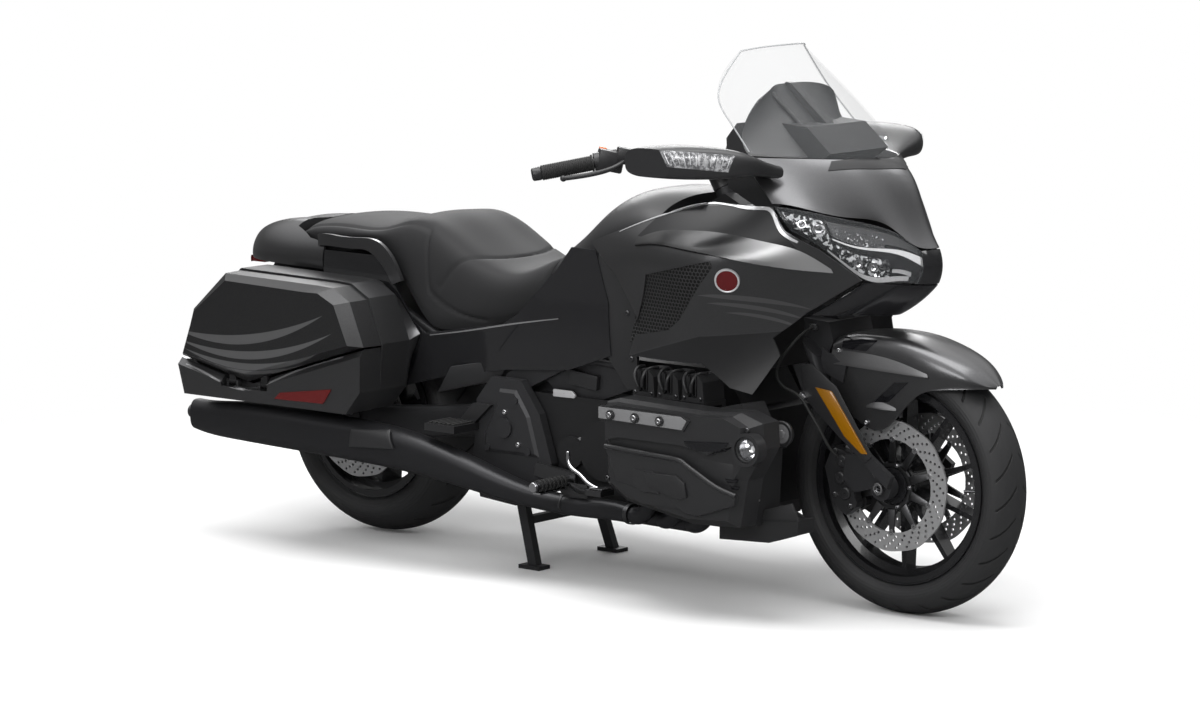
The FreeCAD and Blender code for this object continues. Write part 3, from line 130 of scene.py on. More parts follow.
class Look:
    """One procedural material: a principled shader whose inputs may vary from place to place."""

    IOR = 1.45

    def __init__(self, name, color, rough=0.5, metal=0.0, coat=0.0, coat_rough=0.05, specular=0.5, alpha=1.0):
        self.mat = bpy.data.materials.new(name)
        self.mat.use_nodes = True
        self.mat.diffuse_color = (*color, 1.0)
        self.tree = self.mat.node_tree
        self.shader = next(n for n in self.tree.nodes if n.type == "BSDF_PRINCIPLED")
        values = {"Base Color": (*color, 1.0), "Roughness": rough, "Metallic": metal, "Coat Weight": coat,
                  "Coat Roughness": coat_rough, "IOR": self.IOR, "Specular IOR Level": specular,
                  "Alpha": alpha}
        for socket, value in values.items():
            self.shader.inputs[socket].default_value = value
        self.place = Val(self.tree, add_node(self.tree, "ShaderNodeTexCoord").outputs["Object"])
        split = add_node(self.tree, "ShaderNodeSeparateXYZ", {0: self.place})
        self.x, self.y, self.z = (Val(self.tree, out) for out in split.outputs)

    def noise(self, scale, detail=2.0):
        """Smooth noise from 0 to 1, with about that many grains a metre."""
        inputs = {"Vector": self.place, "Scale": scale, "Detail": detail}
        return Val(self.tree, add_node(self.tree, "ShaderNodeTexNoise", inputs).outputs["Fac"])

    def mix(self, factor, a, b):
        """Colour a where factor is 0, b where it is 1."""
        a, b = (c if isinstance(c, Val) else (*c, 1.0) for c in (a, b))
        node = add_node(self.tree, "ShaderNodeMix", {0: factor, 6: a, 7: b}, data_type="RGBA")
        return Val(self.tree, node.outputs[2])

    def set(self, name, value):
        self.tree.links.new(value.socket, self.shader.inputs[name])

    def bump(self, height, depth, strength=1.0):
        """Relief from a height of 0 to 1 over a depth in metres."""
        inputs = {"Height": height, "Distance": depth, "Strength": strength}
        self.set("Normal", Val(self.tree, add_node(self.tree, "ShaderNodeBump", inputs).outputs[0]))


# Finishes

PAINT = (0.085, 0.085, 0.088)
STRIPE = (0.150, 0.150, 0.153)
BAG = (0.022, 0.022, 0.023)
# Near black: the side cowls' lower trim, and the painted shade of the recess along their shoulder.
DARK_TRIM_AND_SHADE = (0.010, 0.010, 0.011)
FLAKES = 900.0
PAINT_ROUGH, PAINT_METAL, PAINT_COAT = 0.30, 0.85, 0.35


def grey(level):
    """Neutral colour of that level."""
    return (level, level, level)


def flaked(look, base, lift=0.02):
    """The base colour with fine flake: lifted a little where small noise is high."""
    flake = look.noise(FLAKES, 1.0).smooth(0.35, 0.75)
    return look.mix(flake, base, tuple(c + lift for c in base))


def paint_look(name, base=PAINT, rough=PAINT_ROUGH, metal=PAINT_METAL):
    """Metallic paint with fine flake under a thin, soft clear coat."""
    look = Look(name, base, rough, metal, coat=PAINT_COAT, coat_rough=0.20)
    look.set("Base Color", flaked(look, base))
    return look


def plastic_look(name, base, rough, grain=2200.0, specular=0.5):
    """Moulded plastic or vinyl: fine grain in its relief and roughness."""
    look = Look(name, base, rough, specular=specular)
    grains = look.noise(grain)
    look.bump(grains, 0.00015, 0.6)
    look.set("Roughness", grains * 0.12 + (rough - 0.06))
    return look


def gloss_look(name, base, rough):
    """Gloss plastic under a clear coat, its roughness wandering a little."""
    look = Look(name, base, rough, coat=0.5, coat_rough=0.06)
    look.set("Roughness", look.noise(30.0) * 0.06 + (rough - 0.03))
    return look


def metal_look(name, base, rough, metal):
    """Bare or painted metal with cloudy roughness."""
    look = Look(name, base, rough, metal)
    look.set("Roughness", look.noise(300.0, 3.0) * 0.14 + (rough - 0.07))
    return look


def glint_painted_look(name, base, rough, metal, scale, edges, dark, pale):
    """Reflector metal with painted reflections: dark and pale patches, the pale ones painted glints, where
    noise lies below or above two levels.
    """
    look = metal_look(name, base, rough, metal)
    look.set("Base Color", look.mix(look.noise(scale).smooth(*edges), dark, pale))
    return look


def clear_look(name, base, alpha, specular, scale, rough, spread):
    """Clear plastic, its roughness spread a little by soft noise."""
    look = Look(name, base, rough + spread / 2, alpha=alpha, specular=specular)
    look.set("Roughness", look.noise(scale) * spread + rough)
    return look


def inside(look, outline):
    """1 inside a convex (x, z) outline given in mm, 0 outside: the least distance to its sides, with a soft
    step where it is nil."""
    cx = sum(p[0] for p in outline) / len(outline)
    cz = sum(p[1] for p in outline) / len(outline)
    depth = None
    for (x0, z0), (x1, z1) in zip(outline, outline[1:] + outline[:1]):
        nx, nz = z1 - z0, x0 - x1
        k = sqrt(nx * nx + nz * nz)
        if nx * (cx - x0) + nz * (cz - z0) < 0:
            k = -k
        d = look.x * (1000 * nx / k) + look.z * (1000 * nz / k) - (nx * x0 + nz * z0) / k
        depth = d if depth is None else depth.least(d)
    return depth.smooth(-0.6, 0.6)


def swoosh(look, start, end, sag, half):
    """1 within a long leaf between two (x, z) points in mm: a band round a parabola that narrows to its
    ends."""
    (x0, z0), (x1, z1) = start, end
    t = (look.x * 1000 - x0) / (x1 - x0)
    arch = (t * (1.0 - t) * 4.0).most(0.0)
    middle = t * (z1 - z0) + z0 + arch * sag
    away = (look.z * 1000 - middle).abs()
    return (arch * half - away).smooth(0.0, 0.8) * (look.y.abs() > 0.12)


def swooshes(look, leaves):
    """1 within any of several leaves."""
    mask = swoosh(look, *leaves[0])
    for leaf in leaves[1:]:
        mask = mask.most(swoosh(look, *leaf))
    return mask


# Band under the shoulder, painted near black and matte as the shade of the recess under the crease.
COWL_SHADE_BAND = [(330, 900), (774, 888), (740, 934), (694, 985), (600, 990), (400, 975)]
COWL_LOW = [(200, 640), (320, 652), (478, 690), (620, 700), (760, 742), (760, 500), (200, 500)]
COWL_LEAVES = [((540, 776), (768, 742), 12, 7), ((560, 758), (762, 712), 14, 6),
               ((600, 736), (752, 690), 12, 5)]


def cowl_look():
    """Side cowl paint: a dark band under the shoulder, painted shade of the recess there; a dark lower zone
    of trim; and pale leaf stripes.
    """
    look = paint_look("cowl_paint")
    # dark holds the band's painted shade and the lower zone's trim.
    dark = inside(look, COWL_SHADE_BAND).most(inside(look, COWL_LOW))
    stripes = swooshes(look, COWL_LEAVES)
    painted = look.mix(stripes, flaked(look, PAINT), STRIPE)
    look.set("Base Color", look.mix(dark, painted, DARK_TRIM_AND_SHADE))
    look.set("Metallic", PAINT_METAL - dark * PAINT_METAL)
    look.set("Roughness", dark * 0.22 + stripes * 0.12 + PAINT_ROUGH)
    look.set("Coat Weight", PAINT_COAT - dark * 0.31)
    return look


BAG_LEAVES = [((-1140, 560), (-600, 640), -46, 13), ((-1130, 535), (-570, 596), -52, 11),
              ((-1110, 512), (-620, 540), -44, 9), ((-1060, 492), (-700, 500), -30, 6)]
BAG_OUTER = 0.405


def bag_look():
    """Bag paint with four pale leaf stripes on the outer face, which sweep up to the front."""
    rough = 0.36
    look = paint_look("bag_paint", BAG, rough, 0.55)
    stripes = swooshes(look, BAG_LEAVES) * (look.y.abs() > BAG_OUTER)
    look.set("Base Color", look.mix(stripes * 0.7, flaked(look, BAG, 0.015), STRIPE))
    look.set("Roughness", stripes * 0.12 + rough)
    look.set("Coat Weight", 0.14 - stripes * 0.05)
    return look


MESH_CELL = 0.0105
ROW = 1.732


def mesh_look():
    """Black honeycomb: distance to the nearest cell centre in hexagonal measure, ribs round deep cells
    painted near black as their shade. The centres lie on two equal grids, half a cell apart, with rows root 3
    of a cell high."""
    look = Look("honeycomb", grey(0.010), 0.5)
    near = None
    for shift in (0.0, 0.5):
        gx = ((look.x / MESH_CELL + shift).fract() - 0.5).abs()
        gz = ((look.z / (MESH_CELL * ROW) + shift).fract() - 0.5).abs() * ROW
        d = gx.most(gx * 0.5 + gz * (ROW / 2))
        near = d if near is None else near.least(d)
    rib = near.smooth(0.36, 0.43)
    # Cells near black against dark grey ribs: painted shade in the deep cells.
    look.set("Base Color", look.mix(rib, grey(0.001), (0.030, 0.030, 0.031)))
    look.bump(rib, 0.004)
    return look


GROOVE_SPAN = ((0.010, 0.013), (0.056, 0.060))
TREAD_SPAN = (0.040, 0.032)


def tyre_look(name, axle, radius, count, slant):
    """Tread: slanted grooves spaced round the tyre by angle and shifted with the distance from the middle;
    fine rings on the walls. Lengths in metres."""
    look = Look(name, (0.018, 0.018, 0.019), 0.62)
    dx, dz, side = look.x - axle[0], look.z - axle[1], look.y.abs()
    turn = dz.angle(dx) * (count / (2 * pi))
    wave = (turn + side * slant).fract() - 0.5
    groove = 1.0 - wave.abs().smooth(0.035, 0.06)
    groove = groove * side.smooth(*GROOVE_SPAN[0]) * (1.0 - side.smooth(*GROOVE_SPAN[1]))
    r = (dx * dx + dz * dz).sqrt()
    tread = r.smooth(*(radius - d for d in TREAD_SPAN))
    rings = ((r * 900.0).wave() * 0.5 + 0.5) * (1.0 - tread) * 0.12
    grain = look.noise(1400.0)
    look.bump(rings + grain * 0.06 - groove * tread, 0.003)
    # Grooves painted near black against the tread: painted shade in their depth.
    look.set("Base Color", look.mix(groove * tread, (0.019, 0.019, 0.020), grey(0.004)))
    look.set("Roughness", grain * 0.12 + 0.52)
    return look


SHROUD_SLATS = [(594, 300), (594, 490), (645, 496), (690, 420), (684, 300)]


def finned_look():
    """Radiator shroud with a field of fine horizontal slats on its outer face."""
    look = plastic_look("finned", (0.014, 0.014, 0.015), 0.5)
    slats = (look.z * 160.0).fract().smooth(0.35, 0.55) * inside(look, SHROUD_SLATS)
    look.bump(slats, 0.003)
    look.set("Base Color", look.mix(slats, (0.014, 0.014, 0.015), grey(0.004)))
    return look


# Plain finishes: base colour and roughness, and for metal its share.
GLOSSES = {"gloss_black": ((0.012, 0.012, 0.013), 0.12), "smoke": ((0.045, 0.045, 0.047), 0.3),
           "wheel": ((0.010, 0.010, 0.011), 0.25), "red_lens": ((0.085, 0.005, 0.005), 0.25),
           "amber": ((0.23, 0.095, 0.002), 0.25), "orange": ((0.80, 0.16, 0.02), 0.3),
           "badge_red": ((0.075, 0.003, 0.004), 0.2), "white_lens": ((0.75, 0.75, 0.76), 0.15),
           "glass_dark": ((0.006, 0.006, 0.007), 0.05)}
PLASTICS = {"matte_black": ((0.016, 0.016, 0.017), 0.55), "satin_black": ((0.018, 0.018, 0.019), 0.36),
            "grey_satin": ((0.14, 0.14, 0.143), 0.38), "vinyl": ((0.026, 0.026, 0.027), 0.60, 1500.0, 0.18),
            "grip": (grey(0.014), 0.7, 1500.0)}
METALS = {"engine": ((0.014, 0.014, 0.015), 0.55, 0.3), "frame": ((0.030, 0.030, 0.032), 0.45, 0.4),
          "bright_steel": ((0.60, 0.60, 0.61), 0.28, 1.0), "dark_steel": ((0.16, 0.16, 0.165), 0.35, 1.0),
          "chrome": ((0.78, 0.78, 0.80), 0.09, 1.0), "disc": ((0.38, 0.38, 0.385), 0.32, 0.6),
          "silver": ((0.55, 0.55, 0.56), 0.30, 0.5), "mirror_pale": ((0.85, 0.85, 0.86), 0.25, 0.3),
          # Pale strips in the edge finish below paint the highlight along panel edges.
          "edge_painted_highlight": ((0.24, 0.24, 0.245), 0.35, 0.5), "exhaust": ((0.022, 0.022, 0.024), 0.38, 0.5)}
# Reflector finishes whose dark and pale patches are painted reflections and glints.
GLINT_PAINTED_FINISHES = {"jewel": ((0.42, 0.43, 0.45), 0.15, 0.4, 95.0, (0.50, 0.57), (0.015, 0.015, 0.016),
                      (0.85, 0.86, 0.88)),
            "jewel_dim": ((0.09, 0.09, 0.095), 0.2, 0.3, 190.0, (0.56, 0.64), (0.09, 0.09, 0.093),
                          (0.75, 0.76, 0.78)),
            "signal": ((0.30, 0.30, 0.31), 0.25, 0.4, 120.0, (0.42, 0.62), (0.10, 0.10, 0.103),
                       (0.46, 0.46, 0.47))}
CLEARS = {"screen_clear": ((0.30, 0.31, 0.32), 0.07, 0.12, 3.0, 0.015, 0.01),
          "lamp_clear": ((0.25, 0.26, 0.27), 0.06, 0.4, 8.0, 0.02, 0.02),
          # A half-clear grey that paints the shade of the screen's edge.
          "screen_edge_shade": ((0.45, 0.46, 0.47), 0.55, 0.5, 20.0, 0.15, 0.1)}


def shoulder_highlight_look():
    """Paint that goes from dark by the mesh to pale by the lamp, along x: painted shade rising to a painted
    highlight.
    """
    look = paint_look("shoulder_painted_highlight", (0.16, 0.16, 0.163), 0.34)
    # Base colour along x is painted light: dark as painted shade by the mesh, pale as a painted highlight by
    # the lamp.
    look.set("Base Color", look.mix(look.x.smooth(0.60, 0.80), (0.035, 0.035, 0.036), (0.60, 0.60, 0.605)))
    return look


def make_looks():
    """Every look by its name: the special ones, then the tables."""
    looks = {"body_paint": paint_look("body_paint"), "cowl_paint": cowl_look(), "bag_paint": bag_look(),
             # A paler copy of the body paint: painted highlight on the fender's leaning creases.
             "crease_painted_highlight": paint_look("crease_painted_highlight", (0.14, 0.14, 0.143), 0.32),
             "shoulder_painted_highlight": shoulder_highlight_look(), "honeycomb": mesh_look(), "finned": finned_look(),
             "front_tyre": tyre_look("front_tyre_rubber", (FRONT_X * MM, FRONT_Z * MM), FRONT_R, 26, 16.0),
             "rear_tyre": tyre_look("rear_tyre_rubber", (REAR_X * MM, REAR_Z * MM), REAR_R, 24, 11.0)}
    tables = ((gloss_look, GLOSSES), (plastic_look, PLASTICS), (metal_look, METALS),
              (glint_painted_look, GLINT_PAINTED_FINISHES), (clear_look, CLEARS))
    for make, table in tables:
        for name, values in table.items():
            looks[name] = make(name, *values)
    return looks


LOOKS = make_looks()


def dress(obj, look):
    """The object wears that look alone."""
    obj.data.materials.clear()
    obj.data.materials.append(LOOKS[look].mat)


NODE_LOOKS = {
    "body_paint": ["front_cowl", "front_fender", "tail_cowl", "saddlebag_body_right", "saddlebag_body_left",
                   "grab_rails"],
    "cowl_paint": ["side_cowls"],
    "bag_paint": ["saddlebag_lid_right", "saddlebag_lid_left"],
    "gloss_black": ["lower_nose", "side_covers"],
    "honeycomb": ["side_meshes"],
    "finned": ["radiators"],
    "matte_black": ["side_pillars", "intake_covers", "rear_fender", "plate_holder", "dash"],
    "satin_black": ["head_covers", "screen_garnish", "mirrors", "front_calipers", "handlebar",
                    "tank_shelter"],
    "engine": ["engine_block"],
    "frame": ["head_block", "frame_rails", "pivot_plates", "swingarm", "wishbones", "fork", "centre_stand",
              "side_stand"],
    "bright_steel": ["front_axle", "front_discs", "rear_disc"],
    "dark_steel": ["foot_controls"],
    "wheel": ["front_rim", "rear_rim"],
    "front_tyre": ["front_tyre"],
    "rear_tyre": ["rear_tyre"],
    "exhaust": ["mufflers", "exhaust_headers"],
    "vinyl": ["seat"],
    "red_lens": ["rear_lamps"],
    "amber": ["fork_reflectors"],
    "screen_clear": ["windscreen"],
    "lamp_clear": ["headlamps"],
}
CAD_SPLIT = 32


def dress_nodes():
    """Every CAD node gets its look, shaded smooth but for edges sharper than the split angle."""
    for look, names in NODE_LOOKS.items():
        for name in names:
            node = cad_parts[name]
            dress(node, look)
            node.data.polygons.foreach_set("use_smooth", [True] * len(node.data.polygons))
            edges = node.modifiers.new("edges", "EDGE_SPLIT")
            edges.split_angle = radians(CAD_SPLIT)


dress_nodes()


# Shapes: each is (points in mm, faces), and a piece joins several of them.

Y = (0, 1, 0)
# Share of a hole's radius that stays clear of its polygon's sides.
HOLE_CHORD = 0.985


def spline(at, knots, values):
    """Natural cubic spline: values (n, ...) given at knots, read at the positions at. The second derivatives
    come from the usual three-term equations, and are nil at both ends."""
    n = len(knots)
    h = np.diff(knots)
    flat = values.reshape(n, -1)
    a = np.eye(n)
    rhs = np.zeros_like(flat)
    for i in range(1, n - 1):
        a[i, i - 1], a[i, i], a[i, i + 1] = h[i - 1], 2 * (h[i - 1] + h[i]), h[i]
        rhs[i] = 6 * ((flat[i + 1] - flat[i]) / h[i] - (flat[i] - flat[i - 1]) / h[i - 1])
    m = np.linalg.solve(a, rhs)
    k = np.clip(np.searchsorted(knots, at, side="right") - 1, 0, n - 2)
    s = (at - knots[k])[:, None]
    hk = h[k][:, None]
    r = hk - s
    out = (m[k] * r ** 3 + m[k + 1] * s ** 3) / (6 * hk)
    out += (flat[k] / hk - m[k] * hk / 6) * r + (flat[k + 1] / hk - m[k + 1] * hk / 6) * s
    return out.reshape((len(at),) + values.shape[1:])


def chords(grid):
    """Mean running chord length along the first axis of a grid of points, from 0 to 1."""
    d = np.linalg.norm(np.diff(grid, axis=0), axis=-1)
    d = d.reshape(len(d), -1)
    run = np.vstack([np.zeros(d.shape[1]), np.cumsum(d, axis=0)])
    return (run / run[-1]).mean(axis=1)


def fine_grid(rows, nu, nv):
    """Smooth grid of nu by nv points through a coarse grid: cubic splines both ways."""
    g = np.array(rows, float)
    g = spline(np.linspace(0, 1, nu), chords(g), g)
    g = np.swapaxes(g, 0, 1)
    g = spline(np.linspace(0, 1, nv), chords(g), g)
    return np.swapaxes(g, 0, 1)


def curve(points, n):
    """n points on a smooth curve through the points."""
    p = np.array(points, float)
    return spline(np.linspace(0, 1, n), chords(p[:, None]), p)


def full(rows):
    """Rows given from the centre line outwards on the right, completed to the left."""
    return [[(x, -y, z) for x, y, z in reversed(row[1:])] + list(row) for row in rows]


def grid_faces(n, m, wrap=False):
    """Quads of an n by m grid, closed round the second axis if wrap."""
    i, j = np.meshgrid(np.arange(n - 1), np.arange(m if wrap else m - 1), indexing="ij")
    k = (j + 1) % m
    quads = np.stack([i * m + j, i * m + k, (i + 1) * m + k, (i + 1) * m + j], -1)
    return quads.reshape(-1, 4).tolist()


def normals_of(grid):
    """Unit normals of a grid from its two directions' differences."""
    n = np.cross(np.gradient(grid, axis=0), np.gradient(grid, axis=1))
    return n / np.maximum(np.linalg.norm(n, axis=-1, keepdims=True), 1e-9)


def thick(grid, t):
    """Closed sheet: the grid, and the same grid moved back by t along its normals, joined at the rim."""
    n, m = grid.shape[:2]
    top, low = grid.reshape(-1, 3), (grid - normals_of(grid) * t).reshape(-1, 3)
    faces = grid_faces(n, m)
    faces += [[q + n * m for q in reversed(f)] for f in faces]
    rim = list(range(m)) + [i * m + m - 1 for i in range(1, n)]
    rim += [(n - 1) * m + j for j in range(m - 2, -1, -1)] + [i * m for i in range(n - 2, 0, -1)]
    for a, b in zip(rim, rim[1:] + rim[:1]):
        faces.append([b, a, a + n * m, b + n * m])
    return np.vstack([top, low]), faces


def tube(points, radius, sides=14, n=0):
    """Round bar along a path, smoothed to n points if n is given: a ring of points at each, whose first
    direction is carried on from ring to ring without twist."""
    p = curve(points, n) if n else np.array(points, float)
    t = np.gradient(p, axis=0)
    t /= np.linalg.norm(t, axis=1, keepdims=True)
    a = np.linspace(0, 2 * pi, sides, endpoint=False)[:, None]
    u = np.cross(t[0], (0, 0, 1) if abs(t[0][2]) < 0.9 else (1, 0, 0))
    rings = []
    for here, way in zip(p, t):
        u = u - way * u.dot(way)
        u /= np.linalg.norm(u)
        rings.append(here + radius * (np.cos(a) * u + np.sin(a) * np.cross(way, u)))
    last = (len(p) - 1) * sides
    faces = grid_faces(len(p), sides, True)
    faces += [list(range(sides))[::-1], [last + k for k in range(sides)]]
    return np.vstack(rings), faces


def lathe(profile, centre, axis, sides=32, closed=True):
    """Profile of (distance along the axis, radius) turned about the axis through the centre; closed joins its
    two ends into a ring, and else each gets a flat face."""
    w = Vector(axis).normalized()
    u = w.orthogonal().normalized()
    v = w.cross(u)
    w, u, v = (np.array(k) for k in (w, u, v))
    profile = np.array(profile, float)
    a = np.linspace(0, 2 * pi, sides, endpoint=False)
    ring = np.cos(a)[:, None] * u + np.sin(a)[:, None] * v
    points = np.array(centre, float) + profile[:, 0, None, None] * w + profile[:, 1, None, None] * ring
    last = (len(profile) - 1) * sides
    faces = grid_faces(len(profile), sides, True)
    if closed:
        turns = [(k, (k + 1) % sides) for k in range(sides)]
        faces += [[last + after, last + k, k, after] for k, after in turns]
    else:
        faces += [list(range(sides))[::-1], [last + k for k in range(sides)]]
    return points.reshape(-1, 3), faces


def rod(p, q, r, sides=20):
    """Round bar from p to q with small chamfers at its ends."""
    p, q = np.array(p, float), np.array(q, float)
    length = np.linalg.norm(q - p)
    c = min(r, length) * 0.12
    return lathe([(0, r - c), (c, r), (length - c, r), (length, r - c)], p, q - p, sides, False)


def block(centre, size, turn=(0, 0, 0)):
    """Box of that size about the centre, turned by angles in degrees about x, y, z."""
    s = np.array([[x, y, z] for x in (-.5, .5) for y in (-.5, .5) for z in (-.5, .5)]) * size
    for k, a in enumerate(turn):
        c, d = cos(radians(a)), sin(radians(a))
        i, j = (k + 1) % 3, (k + 2) % 3
        s[:, i], s[:, j] = s[:, i] * c - s[:, j] * d, s[:, i] * d + s[:, j] * c
    faces = [[0, 1, 3, 2], [4, 6, 7, 5], [0, 4, 5, 1], [2, 3, 7, 6], [0, 2, 6, 4], [1, 5, 7, 3]]
    return s + centre, faces


def plate(outline, y0, y1, holes=()):
    """Flat plate with an (x, z) outline and round holes, from y0 to y1: constrained triangles of the outline,
    without those whose middle lies in a hole, and a wall along each edge that only one triangle has."""
    loops = [list(outline)] + [list(h) for h in holes]
    flat, edges = [], []
    for loop in loops:
        k = len(flat)
        flat += [Vector(p) for p in loop]
        edges += [(k + i, k + (i + 1) % len(loop)) for i in range(len(loop))]
    verts, _, tris, _, _, _ = geometry.delaunay_2d_cdt(flat, edges, [list(range(len(outline)))], 1, 1e-6)
    verts, tris = np.array([tuple(v) for v in verts]), np.array(tris)
    middles = verts[tris].mean(axis=1)
    for hole in loops[1:]:
        centre = np.mean(hole, axis=0)
        r = np.hypot(*(np.array(hole) - centre).T).max() * HOLE_CHORD
        keep = np.hypot(*(middles - centre).T) > r
        tris, middles = tris[keep], middles[keep]
    n, tris = len(verts), tris.tolist()
    points = np.vstack([np.insert(verts, 1, y, axis=1) for y in (y0, y1)])
    sides = {side: True for t in tris for side in zip(t, t[1:] + t[:1])}
    faces = tris + [[i + n for i in reversed(t)] for t in tris]
    faces += [[b, a, a + n, b + n] for a, b in sides if (b, a) not in sides]
    return points, faces


def circle(x, z, r, n):
    """Points (x, z) spaced evenly round a circle."""
    return [(x + r * cos(2 * pi * k / n), z + r * sin(2 * pi * k / n)) for k in range(n)]


def beside(outline, y):
    """An (x, z) outline as points at that y."""
    return [(x, y, z) for x, z in outline]


def flip(shape):
    """The shape's mirror image on the other side."""
    v, f = shape
    return v * (1, -1, 1), [list(reversed(q)) for q in f]


def both(shapes):
    """Shapes drawn on the right, and their mirror images."""
    return list(shapes) + [flip(s) for s in shapes]


def spun(shape, centre, count, start=0.0):
    """Copies of a shape spaced evenly round an axle along y through centre (x, z)."""
    v, f = shape
    out = []
    for k in range(count):
        a = start + 2 * pi * k / count
        x, z = v[:, 0] - centre[0], v[:, 2] - centre[1]
        x, z = x * cos(a) + z * sin(a), z * cos(a) - x * sin(a)
        out.append((np.stack([centre[0] + x, v[:, 1], centre[1] + z], 1), f))
    return out


def piece(name, shapes, look, body="chassis", bevel=0.0, split=35.0, node=None):
    """One object made of several shapes, riding on a body; its normals point outwards. Edges get a bevel of
    that width in mm, and shade sharp where they turn by more than split degrees."""
    points, faces, k = [], [], 0
    for v, f in shapes:
        points.append(v)
        faces += [[i + k for i in q] for q in f]
        k += len(v)
    mesh = bpy.data.meshes.new(name)
    mesh.from_pydata((np.vstack(points) * MM).tolist(), [], faces)
    bm = bmesh.new()
    bm.from_mesh(mesh)
    bmesh.ops.recalc_face_normals(bm, faces=bm.faces)
    bm.to_mesh(mesh)
    bm.free()
    mesh.polygons.foreach_set("use_smooth", [True] * len(mesh.polygons))
    mesh.update()
    obj = bpy.data.objects.new(name, mesh)
    bpy.context.collection.objects.link(obj)
    if bevel:
        b = obj.modifiers.new("bevel", "BEVEL")
        b.width, b.segments, b.limit_method, b.angle_limit = bevel * MM, 2, "ANGLE", radians(30)
    edges = obj.modifiers.new("edges", "EDGE_SPLIT")
    edges.split_angle = radians(split)
    dress(obj, look)
    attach(obj, body)
    if node:
        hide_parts(node)
    return obj


# Ways of a ray: in from the right, and the way that the photo looks. A ray starts that far back.
RIGHT = (0, 1, 0)
VIEW = (-0.6318, 0.7621, -0.1421)
RAY_BACK = 400.0
TREES = {}


def cast(node, origin, way):
    """Where a ray meets a solid of the frame, in mm, and the normal there; each solid's search tree is
    kept."""
    if node not in TREES:
        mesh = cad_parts[node].data
        TREES[node] = BVHTree.FromPolygons([v.co.copy() for v in mesh.vertices],
                                           [tuple(p.vertices) for p in mesh.polygons])
    hit, normal, _, _ = TREES[node].ray_cast(Vector(origin) * MM, Vector(way))
    if hit is None:
        return None, None
    return np.array(hit) / MM, np.array(normal)


def laid(node, points, way, lift):
    """Points moved along a way until they meet the node's surface, then lifted off it; one that misses keeps
    the depth of the point before."""
    out, depth = [], 0.0
    way = np.array(way, float)
    for p, high in zip(np.array(points, float), np.broadcast_to(lift, len(points))):
        hit, normal = cast(node, p - way * RAY_BACK, way)
        if hit is None:
            out.append(p + way * depth)
            continue
        depth = (hit - p).dot(way)
        if normal.dot(way) > 0:
            normal = -normal
        out.append(hit + normal * high)
    return np.array(out)


def laid_grid(node, corners, nu, nv, way, lift):
    """Patch on a node's surface: a flat grid between four corners, laid along the way."""
    a, b, c, d = (np.array(k, float) for k in corners)
    u, v = np.linspace(0, 1, nu)[:, None, None], np.linspace(0, 1, nv)[None, :, None]
    grid = a * (1 - u) * (1 - v) + b * u * (1 - v) + c * u * v + d * (1 - u) * v
    return laid(node, grid.reshape(-1, 3), way, lift).reshape(nu, nv, 3)


def laid_strip(node, path, width, way, lift, n=40, taper=0.0):
    """Ribbon along a path on a node's surface; its width falls to its ends by the taper, as a square."""
    p = curve(path, n)
    t = np.gradient(p, axis=0)
    side = np.cross(t / np.linalg.norm(t, axis=1, keepdims=True), np.array(way, float))
    side /= np.linalg.norm(side, axis=1, keepdims=True)
    half = (width / 2) * (1 - taper * (2 * np.linspace(0, 1, n) - 1) ** 2)[:, None]
    return np.stack([laid(node, p + side * half * k, way, lift) for k in (-1, 0, 1)], 1)


def wedge(node, upper, lower, slope, n=60, rows=9):
    """Skin between two paths on a node: its height off the node is the slope times the way gone from the
    upper path to the lower one, where it drops back, so that the skin leans upward and ends in a crease."""
    a, b = curve(upper, n), curve(lower, n)
    wide = np.linalg.norm(b - a, axis=1)
    grid = [laid(node, a * (1 - s) + b * s, RIGHT, 0.3 + slope * wide * s) for s in np.linspace(0, 1, rows)]
    grid.append(laid(node, b - (0, 0, 1.2), RIGHT, 0.3))
    return thick(np.stack(grid, 1), 0.8)


# Seat

# Along x: the top, the half width and the lower edge.
SEAT_STATIONS = [(-975, 820, 120, 768), (-900, 840, 158, 768), (-760, 851, 178, 768), (-620, 857, 184, 764),
                 (-560, 872, 182, 700), (-490, 868, 180, 610), (-405, 828, 182, 592), (-310, 780, 178, 606),
                 (-200, 762, 150, 634), (-120, 796, 108, 662)]
SEAT_GRID = (190, 96)
# Where a section's nine points lie along its girth, and its length in mm.
GIRTH_SHARES = np.array([0.0, 0.16, 0.30, 0.40, 0.5, 0.60, 0.70, 0.84, 1.0])
GIRTH = 420
# Seams: the step between the two seats, the skirt under it and the rider's pan.
STEP_X, SKIRT_END_X, PAN_X = -474, -286, -300
BRIM, SKIRT, PAN = 0.2, 0.36, 0.34
SKIRT_SLOPE, PAN_BOW, PAN_SLANT = 0.00053, 138, 0.8
# Rise of the distance past a seam's end: per share of girth, and its most along x.
PAST_END, FAR = 900, 400
SEAM_DEEP, SEAM_WIDE, PUFF_HIGH, PUFF_WIDE = 4.6, 3.0, 3.0, 20.0
SEAT_RIM, SEAT_END = 0.06, 14


def seam_distance(x, a):
    """About how far in mm the nearest seam is, where a is the share of the girth away from the middle: the
    brim behind the step, the step itself, the skirt that runs forward below it, and the pan's bowed front."""
    behind, ahead = np.clip(STEP_X - x, 0, FAR), np.clip(x - STEP_X, 0, FAR)
    brim = np.abs(a - BRIM) * GIRTH + ahead
    step = np.abs(x - STEP_X) + (np.clip(BRIM - a, 0, 1) + np.clip(a - SKIRT, 0, 1)) * PAST_END
    skirt = np.abs(a - SKIRT - (x - STEP_X) * SKIRT_SLOPE) * GIRTH + behind + np.clip(x - SKIRT_END_X, 0, FAR)
    pan = np.abs(x - PAN_X + PAN_BOW * (a / PAN) ** 2) * PAN_SLANT + np.clip(a - PAN, 0, 1) * PAST_END
    return np.minimum.reduce([brim, step, skirt, pan])


